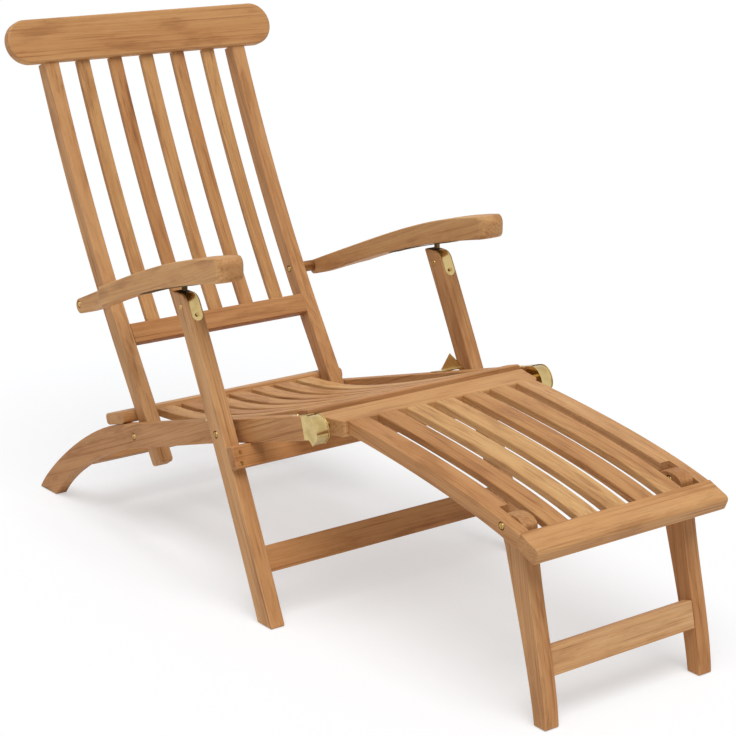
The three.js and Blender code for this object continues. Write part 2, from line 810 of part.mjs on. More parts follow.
function capTab(sign, extra = 0) {
  const outline = rectangle(fromNose(noseTopReach, railRise - capThickness - extra), railRun,
    capTabReach + extra, capThickness + 2 * extra);
  const half = capTabWidth / 2 + extra;
  const middleX = (railInner + seatHalfWidth) / 2;
  return board(outline, ...range(sign, middleX - half, middleX + half));
}

function cap(sign) {
  return board(capSideOutline(), ...range(sign, railInner, seatHalfWidth), 0, 6)
    .subtract(capCore(sign, capThickness))
    .add(capTab(sign))
    .subtract(bar(noseCentre, pinRadius + pinGap, ...range(sign, railInner - overrun, railInner + overrun)));
}

// What the cap takes out of the rail
function capRoom(sign) {
  const zone = rectangle(fromNose(-noseFront - overrun, -capLipDrop), railRun,
    noseFront + overrun + capBack + jointGap, capLipDrop + railRise + overrun);
  return board(zone, ...range(sign, railInner - overrun, seatHalfWidth + overrun))
    .subtract(capCore(sign, capThickness + jointGap))
    .add(capTab(sign, jointGap));
}

// Footrest, hinged on pins through the rail noses
const hinge = noseCentre;
const footFrom = (reach, rise) => at(hinge.x - reach, hinge.y + rise);
const footTopEnd = footFrom(footrestReach, -footrestDrop);
const footTopStart = footFrom(hingeRailFront, hingeRailTop);
const footEdge = (dropAtHinge, dropAtFoot) => new THREE.CubicBezierCurve(
  at(footTopStart.x, footTopStart.y - dropAtHinge),
  at(footTopStart.x - footHingeHandle, footTopStart.y - footHingeHandle * footHingeSlope - dropAtHinge),
  at(footTopEnd.x + footEndHandle, footTopEnd.y + footEndHandle * footEndSlope - dropAtFoot),
  at(footTopEnd.x, footTopEnd.y - dropAtFoot),
);
const footTop = footEdge(0, 0);
const footUnder = footEdge(footRailDepthAtHinge, footRailDepthAtFoot);
const footEndRun = heading(Math.atan(footEndSlope));
const footEndUp = at(-footEndRun.y, footEndRun.x);
const footFrontCorner = move(footTopEnd, footEndUp, -footFrontRailThickness);

function footSlatOutline() {
  const shape = new THREE.Shape();
  const start = at(footTop.v0.x - jointGap, footTop.v0.y);
  shape.moveTo(start.x, start.y);
  const { v1, v2, v3 } = footTop;
  shape.bezierCurveTo(v1.x, v1.y, v2.x, v2.y, v3.x, v3.y);
  lineTo(shape, footUnder.v3);
  const under = footUnder;
  shape.bezierCurveTo(under.v2.x, under.v2.y, under.v1.x, under.v1.y, start.x, under.v0.y);
  return shape;
}

// Everything in front of the rear face of the footrest's front rail, less the joint gap
function footFrontZone() {
  const corner = move(move(footFrontCorner, footEndRun, footFrontRailWidth + jointGap), footEndUp, -overrun);
  return rectangle(move(corner, footEndRun, -2 * footFrontRailWidth), footEndRun,
    2 * footFrontRailWidth, footFrontRailThickness + 2 * overrun);
}

function footTenons(xFrom, xTo, extra) {
  const rearFace = move(move(footFrontCorner, footEndRun, footFrontRailWidth + jointGap),
    footEndUp, footFrontRailThickness / 2);
  const hingeFace = at(footTopStart.x - jointGap, footTopStart.y - footRailDepthAtHinge / 2);
  const height = footRailDepthAtHinge - 2 * tenonShoulder;
  const [from, to] = [xFrom + tenonCheek, xTo - tenonCheek];
  return tongue(hingeFace, at(1, 0), height, from, to, extra)
    .add(tongue(rearFace, footEndRun.clone().negate(), height, from, to, extra));
}

const footSlatXs = Array.from({ length: footSlatCount },
  (_, i) => (i - (footSlatCount - 1) / 2) * footSlatPitch);
const footRailInner = footRailHalfWidth - footRailWidth;
const footLegOuter = footRailHalfWidth - footLegInset;
const footLegInner = footLegOuter - footLegThickness;
const footLegPivot = footFrom(footLegPivotReach, -footLegPivotDrop);

function footSlat(x) {
  const [from, to] = [x - footSlatWidth / 2, x + footSlatWidth / 2];
  return board(footSlatOutline(), from, to, easedArris, 6)
    .subtract(board(footFrontZone(), from - overrun, to + overrun))
    .add(footTenons(from, to, 0));
}

const footRailRange = (sign) => range(sign, footRailInner, footRailHalfWidth);
const footRailTenonRange = (sign) => range(sign, footLegOuter + reliefGap, footRailHalfWidth);

function footRail(sign) {
  const [from, to] = footRailRange(sign);
  const relief = slab(at(footLegPivot.x - footFrontRailWidth - overrun, footLegPivot.y - 2 * footLegKnuckle),
    at(0, 1), 4 * footLegKnuckle, footFrontRailWidth + overrun + reliefLead);
  const outline = footSlatOutline();
  return board(outline, from, to, easedArris, 6)
    .subtract(board(footFrontZone(), from - overrun, to + overrun))
    .subtract(board(relief, ...range(sign, footRailInner - overrun, footLegOuter + reliefGap)))
    .subtract(boltHole(footLegPivot, sign, footRailInner, footRailHalfWidth))
    .subtract(counterbore(footLegPivot, sign, footRailHalfWidth - boltSink, footRailHalfWidth + overrun))
    .add(footRailTenons(sign, 0));
}

function footRailTenons(sign, extra) {
  return footTenons(...footRailTenonRange(sign), extra);
}

function allFootTenons(extra) {
  const slats = footSlatXs.map((x) => footTenons(x - footSlatWidth / 2, x + footSlatWidth / 2, extra));
  const rails = sides.map(({ sign }) => footRailTenons(sign, extra));
  return [...slats, ...rails].reduce((a, b) => a.add(b));
}

function hingeRail() {
  const corner = footFrom(hingeRailFront, -hingeRailUnder);
  const outline = roundedRectangle(corner, at(1, 0), hingeRailFront + hingeRailRear,
    hingeRailTop + hingeRailUnder, easedArris * 2);
  const plan = new THREE.Shape();
  const front = hinge.x - hingeRailFront;
  const rear = hinge.x + hingeRailRear + overrun;
  plan.moveTo(-hingeRailHalfLength, rear);
  plan.lineTo(-hingeRailHalfLength, front + hingeRailChamfer);
  plan.lineTo(-hingeRailHalfLength + hingeRailChamfer, front - jointGap);
  plan.lineTo(hingeRailHalfLength - hingeRailChamfer, front - jointGap);
  plan.lineTo(hingeRailHalfLength, front + hingeRailChamfer);
  plan.lineTo(hingeRailHalfLength, rear);
  const block = new THREE.ExtrudeGeometry(plan, {
    depth: hingeRailTop + hingeRailUnder + 2 * overrun, bevelEnabled: false });
  block.translate(0, 0, hinge.y - hingeRailUnder - overrun);
  return board(outline, -hingeRailHalfLength, hingeRailHalfLength, easedArris)
    .intersect(solidOf(block))
    .subtract(allFootTenons(jointGap))
    .subtract(both((sign) => bar(hinge, pinRadius + pinGap,
      ...range(sign, hingeRailHalfLength - pinDepth, hingeRailHalfLength + overrun))));
}

function footFrontRail() {
  const outline = roundedRectangle(footFrontCorner, footEndRun, footFrontRailWidth,
    footFrontRailThickness, footFrontRailRounding);
  return board(outline, -footRailHalfWidth, footRailHalfWidth, easedArris)
    .subtract(allFootTenons(jointGap));
}

// Footrest leg: a round knuckle on the bolt, then a shin that sweeps forward to the ground
const footToe = at(hinge.x - footLegToeReach, 0);
const footHeel = at(footToe.x + footLegFootLength, 0);
const shinTop = move(footLegPivot, at(-1, 0), footLegKnuckle);
const calfTop = move(footLegPivot, at(1, 0), footLegKnuckle);
const down = -Math.PI / 2;
const shin = new THREE.CubicBezierCurve(
  shinTop,
  move(shinTop, heading(down - footLegShinSlope), footLegShinHandle),
  move(footToe, heading(Math.PI / 2 - footLegToeSlope), footLegToeHandle),
  footToe,
);
const calf = new THREE.CubicBezierCurve(
  calfTop,
  move(calfTop, heading(down - footLegCalfSlope), footLegCalfHandle),
  move(footHeel, heading(Math.PI / 2 - footLegHeelSlope), footLegHeelHandle),
  footHeel,
);

function footLegOutline() {
  const shape = new THREE.Shape();
  shape.absarc(footLegPivot.x, footLegPivot.y, footLegKnuckle, 0, Math.PI, false);
  curveTo(shape, shin);
  lineTo(shape, footHeel);
  curveTo(shape, calf, true);
  return shape;
}

const footBraceRun = shin.getTangent(footLegBraceShare);
const footBraceUp = footBraceRun.clone().negate();
const footBraceFoot = move(move(shin.getPoint(footLegBraceShare), footBraceRun, footLegBraceHeight / 2),
  at(footBraceUp.y, -footBraceUp.x), braceInset);
const footBraceTenons = (extra) => crossTenons(
  move(footBraceFoot, at(footBraceUp.y, -footBraceUp.x), footLegBraceThickness),
  footBraceUp, footLegBraceHeight, footLegBraceThickness, footLegInner - jointGap, extra);

// Seat assembly
const rearBoardCorner = onRail(boardReach, boardSeat);

function sideRail(sign) {
  const pinHole = bar(hinge, pinRadius + pinGap, ...range(sign, railInner - overrun, railInner + pinDepth));
  return board(sideRailOutline(), ...range(sign, railInner, seatHalfWidth), easedArris, 6)
    .subtract(pinHole)
    .subtract(capRoom(sign))
    .subtract(boltHole(legPivot, sign, railInner, seatHalfWidth))
    .subtract(boltHole(backPivot, sign, railInner, seatHalfWidth))
    .subtract(counterbore(backPivot, sign, seatHalfWidth - boltSink, seatHalfWidth + overrun))
    .subtract(counterbore(legPivot, sign, railInner - overrun, railInner + boltSink))
    .subtract(frontRailTenons(jointGap))
    .subtract(stretcherTenons(jointGap));
}

sides.forEach(({ name, sign }) => add(seat, `side_rail_${name}`, sideRail(sign), teak));

const seatTenons = (extra) => seatSlatXs.map((x) => seatSlatTenons(x, extra)).reduce((a, b) => a.add(b));
const frontRailOutline = roundedRectangle(
  frontRailCorner, railRun, frontRailWidth, frontRailDepth, easedArris);
add(seat, 'seat_front_rail', board(frontRailOutline, -crossFace, crossFace)
  .add(frontRailTenons(0)).subtract(seatTenons(jointGap)), teak);

const rearBoardOutline = roundedRectangle(rearBoardCorner, railRun, rearBoardWidth,
  rearBoardThickness, rearBoardRounding);
add(seat, 'seat_rear_board', board(rearBoardOutline, -seatHalfWidth, seatHalfWidth, easedArris)
  .subtract(seatTenons(jointGap)), teak);

const stretcherOutline = rectangle(stretcherCorner, stretcherRun, stretcherThickness, stretcherDepth);
add(seat, 'rear_stretcher', board(stretcherOutline, -crossFace, crossFace).add(stretcherTenons(0)), teak);

seatSlatXs.forEach((x, i) => add(seat, `seat_slat_${i + 1}`,
  board(seatSlatOutline(), x - seatSlatWidth / 2, x + seatSlatWidth / 2, easedArris, 5)
    .add(seatSlatTenons(x, 0)), teak));

sides.forEach(({ name, sign }) => add(seat, `nose_cap_${name}`, cap(sign), brass));
sides.forEach(({ name, sign }) => {
  add(seat, `footrest_hinge_pin_${name}`, bar(hinge, pinRadius,
    ...range(sign, hingeRailHalfLength - pinDepth + jointGap, railInner + pinDepth - jointGap)), brass);
  add(seat, `front_leg_bolt_${name}`, bolt(legPivot, sign, railInner + jointGap, legOuter - jointGap)
    .add(collar(legPivot, sign, seatHalfWidth, legInner)), brass);
  add(seat, `back_pivot_bolt_${name}`, bolt(backPivot, sign, stileInner + jointGap, seatHalfWidth - jointGap)
    .add(collar(backPivot, sign, stileOuter, railInner)), brass);
});

// Backrest assembly
function stileOutline() {
  const shape = new THREE.Shape();
  const tail = -stileTail;
  const turn = (ca, cb, a, b) => {
    const c = onBack(ca, cb);
    const p = onBack(a, b);
    shape.quadraticCurveTo(c.x, c.y, p.x, p.y);
  };
  const start = onBack(tail + stileTailRounding, 0);
  shape.moveTo(start.x, start.y);
  shape.absarc(backCentre.x, backCentre.y, backRadius, -backLean, -leanAt(stileLength), false);
  shape.absarc(backCentre.x, backCentre.y, backRadius + stileDepth, -leanAt(stileLength), -backLean, true);
  lineTo(shape, onBack(tail + stileTailRounding, stileDepth));
  turn(tail, stileDepth, tail, stileDepth - stileTailRounding);
  lineTo(shape, onBack(tail, stileTailRounding));
  turn(tail, 0, tail + stileTailRounding, 0);
  return shape;
}

const lowerRailOrigin = onBack(lowerRailReach, 0);
const lowerRailUp = backUp(lowerRailReach + lowerRailHeight / 2);
const lowerRailTenons = (extra) => crossTenons(
  move(lowerRailOrigin, at(lowerRailUp.y, -lowerRailUp.x), lowerRailThickness),
  lowerRailUp, lowerRailHeight, lowerRailThickness, stileInner - jointGap, extra);

const topRailUp = backUp(stileLength + topRailHeight / 2);
const topRailOrigin = onBack(stileLength + jointGap, topRailThickness - topRailProud);

function stileTenon(sign, extra) {
  const end = onBack(stileLength, (topRailThickness - topRailProud) / 2);
  const height = topRailThickness - topRailProud - 2 * tenonCheek;
  const [from, to] = range(sign, stileInner + tenonShoulder, stileOuter - tenonShoulder);
  return tongue(end, backUp(stileLength), height, from, to, extra);
}

function stile(sign) {
  return board(stileOutline(), ...range(sign, stileInner, stileOuter), easedArris, 4)
    .add(stileTenon(sign, 0))
    .subtract(lowerRailTenons(jointGap))
    .subtract(boltHole(backPivot, sign, stileInner, stileOuter))
    .subtract(boltHole(armPivot, sign, stileInner, stileOuter))
    .subtract(counterbore(backPivot, sign, stileInner - overrun, stileInner + boltSink))
    .subtract(counterbore(armPivot, sign, stileInner - overrun, stileInner + boltSink));
}

sides.forEach(({ name, sign }) => add(backrest, `back_stile_${name}`, stile(sign), teak));

const backSlatXs = Array.from({ length: backSlatCount },
  (_, i) => (i - (backSlatCount - 1) / 2) * backSlatPitch);
const backSlatFoot = lowerRailReach + lowerRailHeight + jointGap;

function backSlatTenons(x, extra) {
  const half = backSlatWidth / 2 - tenonCheek;
  const depth = backSlatSetback + backSlatThickness / 2;
  const height = backSlatThickness - tenonCheek;
  const upRun = backUp(stileLength);
  const downRun = backUp(backSlatFoot).negate();
  return tongue(onBack(stileLength, depth), upRun, height, x - half, x + half, extra)
    .add(tongue(onBack(backSlatFoot, depth), downRun, height, x - half, x + half, extra));
}

function backSlatOutline() {
  const shape = new THREE.Shape();
  const [front, rear] = [backRadius + backSlatSetback, backRadius + backSlatSetback + backSlatThickness];
  const [low, high] = [-leanAt(backSlatFoot), -leanAt(stileLength)];
  shape.absarc(backCentre.x, backCentre.y, front, low, high, false);
  shape.absarc(backCentre.x, backCentre.y, rear, high, low, true);
  return shape;
}

const allBackTenons = (extra) => backSlatXs.map((x) => backSlatTenons(x, extra)).reduce((a, b) => a.add(b));

function topRail() {
  const shape = new THREE.Shape();
  const radius = topRailHeight / 2;
  const end = topRailHalfLength - radius;
  shape.absarc(end, radius, radius, -Math.PI / 2, Math.PI / 2, false);
  shape.absarc(-end, radius, radius, Math.PI / 2, Math.PI * 3 / 2, false);
  return panel(shape, topRailOrigin, topRailUp, topRailThickness, easedArris, 6)
    .subtract(allBackTenons(jointGap))
    .subtract(both((sign) => stileTenon(sign, jointGap)));
}

add(backrest, 'top_rail', topRail(), teak);
add(backrest, 'back_lower_rail', board(
  slab(lowerRailOrigin, lowerRailUp, lowerRailHeight, lowerRailThickness),
  -stileInner + jointGap, stileInner - jointGap)
  .add(lowerRailTenons(0)).subtract(allBackTenons(jointGap)), teak);
backSlatXs.forEach((x, i) => add(backrest, `back_slat_${i + 1}`,
  board(backSlatOutline(), x - backSlatWidth / 2, x + backSlatWidth / 2, easedArris, 4)
    .add(backSlatTenons(x, 0)), teak));
const armBoltOuter = armOuter - armTongueNarrowing;
sides.forEach(({ name, sign }) => {
  add(backrest, `arm_bolt_${name}`, bolt(armPivot, sign, stileInner + jointGap,
    armBoltOuter - jointGap), brass);
  add(backrest, `arm_spacer_${name}`, sleeve(armPivot, sign, stileOuter, armInner), brass);
});

// Arm assemblies
const armGroups = sides.map(({ name, sign }) => {
  const group = new THREE.Group();
  const arm = armBlank(sign)
    .subtract(armGroove(sign))
    .subtract(boltHole(armPivot, sign, armInner, armOuter))
    .subtract(counterbore(armPivot, sign, armBoltOuter - boltSink, armBoltOuter + overrun));
  add(group, `armrest_${name}`, arm, teak);
  add(group, `notch_plate_${name}`, notchPlate(sign), brass);
  return group;
});

// Front leg assembly
sides.forEach(({ name, sign }) => {
  add(frontLegs, `front_leg_${name}`, board(legOutline(), ...range(sign, legInner, legOuter), easedArris, 4)
    .subtract(boltHole(legPivot, sign, legInner, legOuter))
    .subtract(counterbore(legPivot, sign, legOuter - boltSink, legOuter + overrun))
    .subtract(lowerBraceTenons(jointGap)), teak);
  add(frontLegs, `arm_hook_${name}`, hook(sign), brass);
  add(frontLegs, `leg_stop_${name}`, legStop(sign), brass);
});
add(frontLegs, 'upper_leg_brace', board(upperBraceOutline(), -legOuter, legOuter, easedArris), teak);
add(frontLegs, 'lower_leg_brace', board(
  slab(lowerBraceCorner, lowerBraceUp, lowerBraceHeight, lowerBraceThickness),
  -legInner + jointGap, legInner - jointGap).add(lowerBraceTenons(0)), teak);

// Footrest assembly
add(footrest, 'footrest_hinge_rail', hingeRail(), teak);
add(footrest, 'footrest_front_rail', footFrontRail(), teak);
sides.forEach(({ name, sign }) => add(footrest, `footrest_rail_${name}`, footRail(sign), teak));
footSlatXs.forEach((x, i) => add(footrest, `footrest_slat_${i + 1}`, footSlat(x), teak));
sides.forEach(({ name, sign }) => add(footrest, `footrest_leg_bolt_${name}`,
  bolt(footLegPivot, sign, footLegInner + jointGap, footRailHalfWidth - jointGap), brass));

// Footrest leg assembly
sides.forEach(({ name, sign }) => add(footrestLegs, `footrest_leg_${name}`,
  board(footLegOutline(), ...range(sign, footLegInner, footLegOuter), easedArris, 6)
    .subtract(footBraceTenons(jointGap))
    .subtract(boltHole(footLegPivot, sign, footLegInner, footLegOuter))
    .subtract(counterbore(footLegPivot, sign, footLegInner - overrun, footLegInner + boltSink)), teak));
add(footrestLegs, 'footrest_leg_brace', board(
  slab(footBraceFoot, footBraceUp, footLegBraceHeight, footLegBraceThickness),
  -footLegInner + jointGap, footLegInner - jointGap).add(footBraceTenons(0)), teak);

// Whole chair, moved so that the middle of its footprint is the origin
const chair = new THREE.Group();
chair.add(seat, backrest, ...armGroups, frontLegs, footrest, footrestLegs);
chair.updateMatrixWorld(true);
const box = new THREE.Box3().setFromObject(chair, true);
chair.position.set(-(box.min.x + box.max.x) / 2, -(box.min.y + box.max.y) / 2, -box.min.z);
chair.updateMatrixWorld(true);

export default chair;
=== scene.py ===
import math
import random

import bmesh
import bpy
from mathutils import Matrix, Vector
from mathutils.geometry import tessellate_polygon


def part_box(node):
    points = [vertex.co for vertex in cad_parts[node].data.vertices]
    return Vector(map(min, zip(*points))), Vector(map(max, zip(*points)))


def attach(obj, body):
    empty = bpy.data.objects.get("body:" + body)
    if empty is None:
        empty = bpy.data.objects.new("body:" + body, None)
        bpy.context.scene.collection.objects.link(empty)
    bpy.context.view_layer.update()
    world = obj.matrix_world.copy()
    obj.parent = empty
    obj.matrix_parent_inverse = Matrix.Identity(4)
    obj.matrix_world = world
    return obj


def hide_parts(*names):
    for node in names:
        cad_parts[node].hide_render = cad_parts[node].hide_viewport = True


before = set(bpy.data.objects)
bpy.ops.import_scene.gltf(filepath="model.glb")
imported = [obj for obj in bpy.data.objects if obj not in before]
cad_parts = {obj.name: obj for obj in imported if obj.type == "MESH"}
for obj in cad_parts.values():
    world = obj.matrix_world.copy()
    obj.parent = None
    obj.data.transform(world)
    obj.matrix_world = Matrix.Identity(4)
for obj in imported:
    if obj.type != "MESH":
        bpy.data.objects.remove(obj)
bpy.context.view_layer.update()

# Viewpoint: the chair is seen from its front left corner, from a little above the arms, through a
# long lens. The lens and the place were solved from the photographed frame.


def linked(name, data):
    """A new object of the scene."""
    piece = bpy.data.objects.new(name, data)
    bpy.context.scene.collection.objects.link(piece)
    return piece


LOOK_DOWN, LOOK_ROUND = 16.07, 36.93
lens = bpy.data.cameras.new("viewpoint")
lens.lens, lens.sensor_width, lens.sensor_fit = 98.58, 36.0, "HORIZONTAL"
lens.clip_start, lens.clip_end = 0.05, 200.0
viewpoint = linked("viewpoint", lens)
viewpoint.location = (-2.1030, -2.8426, 1.4003)
viewpoint.rotation_euler = (math.radians(90 - LOOK_DOWN), 0.0, math.radians(-LOOK_ROUND))
bpy.context.scene.camera = viewpoint

# Side rails: two planks of teak, 26 mm thick, band-sawn from a straight seat rail into a curved
# rear leg and planed, with every arris rounded by hand. Each nose is let in for its brass cap.
# Their sizes are in millimetres, from the front leg's bolt backwards and from the floor up.
MM = 0.001
leg_bolt_low, leg_bolt_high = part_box("front_leg_bolt_left")
middle_y = (leg_bolt_low.y + leg_bolt_high.y) / 2 / MM


def at(y, z):
    """A place or a reach in the side plane."""
    return Vector((y, z))


def heading(degrees):
    """The way at an angle up from straight back."""
    return at(math.cos(math.radians(degrees)), math.sin(math.radians(degrees)))


def placed(x, spot):
    """A place of the side plane at x, in the frame's metres."""
    return Vector((x, spot.x + middle_y, spot.y)) * MM


def spot_on(curve, t):
    """Where a curve of four points is at t, from 0 at its start to 1 at its end."""
    s = 1 - t
    shares = (s ** 3, 3 * s * s * t, 3 * s * t * t, t ** 3)
    return sum((point * share for point, share in zip(curve, shares)), at(0, 0))


def curved(curve, steps):
    """Points of a curve of four, from its start towards its end, without the end."""
    return [spot_on(curve, k / steps) for k in range(steps)]


def bow(start, turn, end, steps=8):
    """The same through one turning point."""
    return curved((start, start.lerp(turn, 2 / 3), end.lerp(turn, 2 / 3), end), steps)


def arc(centre, radius, start, end, steps):
    """Points of an arc, with both its ends."""
    return [centre + heading(start + (end - start) * k / steps) * radius for k in range(steps + 1)]


def square_to(way):
    """The way to the left of another."""
    return at(-way.y, way.x)


def block(corner, direction, length, height):
    """Corners of a straight length of timber, height to the left of its direction."""
    far, rise = corner + direction * length, square_to(direction) * height
    return [corner.copy(), far, far + rise, corner + rise]


def eased(outline, radius, sharp=(), steps=5):
    """The outline with its corners rounded, but for those at the sharp points. Corners that turn
    by less than 28 degrees belong to a curve and stay."""
    outline = [p for k, p in enumerate(outline) if (p - outline[k - 1]).length > 0.01]
    points = []
    for k, here in enumerate(outline):
        back, on = outline[k - 1] - here, outline[(k + 1) % len(outline)] - here
        half = back.angle(on) / 2
        if math.degrees(half) > 76 or any((here - corner).length < 1 for corner in sharp):
            points.append(here)
            continue
        cut = min(radius / math.tan(half), back.length * 0.48, on.length * 0.48)
        start, end = back.normalized() * cut, on.normalized() * cut
        centre = (start + end).normalized() * (cut / math.cos(half))
        a, b = start - centre, end - centre
        swing = math.atan2(a.x * b.y - a.y * b.x, a.dot(b))
        for n in range(steps + 1):
            turn = heading(math.degrees(swing * n / steps))
            points.append(here + centre + at(a.x * turn.x - a.y * turn.y, a.x * turn.y + a.y * turn.x))
    return points


def inset(outline, distance):
    """Each corner moved inwards, square to the two edges that meet there."""
    moved = []
    for k, here in enumerate(outline):
        back, on = here - outline[k - 1], outline[(k + 1) % len(outline)] - here
        a, b = square_to(back).normalized(), square_to(on).normalized()
        moved.append(here + (a + b) * (distance / max(0.6, 1 + a.dot(b))))
    return moved


def walled(work, rings):
    """Walls from each ring of corners to the next."""
    for a, b in zip(rings, rings[1:]):
        for k in range(len(a)):
            j = (k + 1) % len(a)
            work.faces.new((a[k], a[j], b[j], b[k]))


def in_strips(work, ring, outline):
    """A face laid in strips across, from its front to its rear."""
    half = len(ring) // 2
    front = min(range(len(ring)), key=lambda k: outline[k - 1].x + outline[k].x)
    for k in range(half - 1):
        near, far = (front - 1 - k) % len(ring), (front + k) % len(ring)
        work.faces.new((ring[near], ring[far], ring[(far + 1) % len(ring)], ring[near - 1]))
    if len(ring) % 2:
        work.faces.new([ring[(front + half - 1 + k) % len(ring)] for k in range(3)])


def mesh_of(work, name):
    """The mesh of what was built up, with its faces turned outwards."""
    bmesh.ops.recalc_face_normals(work, faces=work.faces)
    mesh = bpy.data.meshes.new(name)
    work.to_mesh(mesh)
    work.free()
    return mesh


HOLE_RADIUS, HOLE_MOUTH, HOLE_DEPTH = 7.2, 7.6, 3.4


def sawn(outline, low, high, arris=2.2, corner=2.8, slices=1, bend=None, place=None, steps=4,
         bores=(), sharp=()):
    """A timber cut to an outline in the side plane, low and high being its two X faces. Each bore
    is the middle of a bolt and the face, -1 or 1, that its head is sunk in. A bent timber has its
    faces laid in strips."""
    outline = eased(outline, corner, sharp)
    area = sum(p.x * q.y - p.y * q.x for p, q in zip(outline, outline[1:] + outline[:1]))
    if area < 0:
        outline.reverse()
    cuts = []  # each one's X, how far it is drawn in, and whether it lies on the arris
    for k in range(steps + 1):
        turn = math.pi / 2 * k / steps
        cuts.append((low + arris * (1 - math.cos(turn)), arris * (1 - math.sin(turn)), k == steps // 2))
    cuts += [(low + arris + (high - low - 2 * arris) * k / slices, 0.0, False) for k in range(1, slices)]
    cuts += [(low + high - x, depth, edge) for x, depth, edge in reversed(cuts[:steps + 1])]
    work = bmesh.new()
    # the middle of each arris is marked here, and the teak paints it paler: a painted highlight with a
    # little rubbing
    arris_highlight_mark = work.verts.layers.float.new("edge")
    rings = []
    for x, depth, edge in cuts:
        ring = []
        for p in inset(outline, depth):
            spot = Vector((x, p.x, p.y))
            if bend:
                spot = bend(spot)
            if place:
                spot = place @ spot
            vertex = work.verts.new(placed(spot.x, spot.yz))
            vertex[arris_highlight_mark] = 1.0 if edge else 0.0
            ring.append(vertex)
        rings.append(ring)
    walled(work, rings)
    for face, x, ring in ((-1, low, rings[0]), (1, high, rings[-1])):
        if bend:
            in_strips(work, ring, outline)
            continue
        edges = [ring]
        for centre in [centre for centre, side in bores if side == face]:
            sizes = ((0.0, HOLE_MOUTH), (0.5, HOLE_RADIUS), (HOLE_DEPTH, HOLE_RADIUS))
            hole = [[work.verts.new(placed(x - depth * face, p)) for p in arc(centre, radius, 0, 345, 23)]
                    for depth, radius in sizes]
            walled(work, hole)
            work.faces.new(hole[-1])
            edges.append(hole[0])
        if len(edges) == 1:
            work.faces.new(ring)
            continue
        corners = [vertex for edge in edges for vertex in edge]
        flat = [[Vector((vertex.co.y, vertex.co.z, 0)) for vertex in edge] for edge in edges]
        for triangle in tessellate_polygon(flat):
            work.faces.new([corners[k] for k in triangle])
    return mesh_of(work, "timber")


def settled(piece):
    """A plain mesh of what a piece's modifiers make, with the modifiers taken off."""
    bpy.context.view_layer.update()
    mesh = bpy.data.meshes.new_from_object(piece.evaluated_get(bpy.context.evaluated_depsgraph_get()))
    piece.modifiers.clear()
    return mesh


def grained(mesh, along, seed, pieces=None):
    """Marks how the timber was cut from the log: the way of its grain, its heart and its tone.
    pieces gives the number of the board that a point belongs to, where the mesh holds several."""
    along = Vector(along).normalized()
    across = along.orthogonal().normalized()
    third = along.cross(across)
    centre = sum((v.co for v in mesh.vertices), Vector()) / len(mesh.vertices)
    boards = {}

    def board(number):
        if number not in boards:
            chance = random.Random(seed * 101 + number)
            angle, reach = chance.uniform(0, 6.28), chance.uniform(0.03, 0.13)
            heart = Vector((chance.uniform(0, 9), reach * math.cos(angle), reach * math.sin(angle)))
            boards[number] = (heart, chance.random())
        return boards[number]

    marks = {"grain": ("FLOAT_VECTOR", "POINT"), "tone": ("FLOAT", "POINT"), "end": ("FLOAT", "FACE")}
    for name, (kind, domain) in marks.items():
        mesh.attributes.new(name, kind, domain)
    grain, tone, end = (mesh.attributes[name].data for name in marks)
    for k, vertex in enumerate(mesh.vertices):
        heart, shade = board(pieces(vertex.co) if pieces else 0)
        p = vertex.co - centre
        grain[k].vector = Vector((p.dot(along), p.dot(across), p.dot(third))) + heart
        tone[k].value = shade
    for k, face in enumerate(mesh.polygons):
        end[k].value = 1.0 if abs(face.normal.dot(along)) > 0.55 else 0.0
    return mesh


def fitted(name, mesh, body, finish, nodes=(), smooth=38, flats=True):
    """A finished piece in its place on its body, its flats kept flat where asked. A finish is a
    slot and its material."""
    piece = linked(name, mesh)
    for face in mesh.polygons:
        face.use_smooth = True
    mesh.set_sharp_from_angle(angle=math.radians(smooth))
    if flats:
        weighting = piece.modifiers.new("flats", "WEIGHTED_NORMAL")
        weighting.keep_sharp = True
        piece.data = settled(piece)
    slot, material = finish
    piece.data.materials.clear()
    piece.data.materials.append(material)
    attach(piece, body)
    if nodes:
        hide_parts(*nodes)


def timber(name, mesh, along, seed, body, finish, made="planed"):
    """A timber with its grain, in place of the node of its name."""
    fitted(f"{name}_{made}", grained(mesh, along, seed), body, finish, [name])


def sum_of(operation, turned=False):
    """An operator for wires, or its turned form, where the plain number stands first."""
    return lambda wire, other: wire.finish.sum(operation, *((other, wire) if turned else (wire, other)))


class Wire:
    """One socket of a finish; sums on it add their nodes."""

    def __init__(self, finish, socket):
        self.finish, self.socket = finish, socket

    def fraction(self):
        return self.finish.sum("FRACT", self)

    __add__, __radd__ = sum_of("ADD"), sum_of("ADD", True)
    __sub__, __rsub__ = sum_of("SUBTRACT"), sum_of("SUBTRACT", True)
    __mul__, __rmul__ = sum_of("MULTIPLY"), sum_of("MULTIPLY", True)
    __truediv__, __rtruediv__ = sum_of("DIVIDE"), sum_of("DIVIDE", True)
    __pow__, __rpow__ = sum_of("POWER"), sum_of("POWER", True)


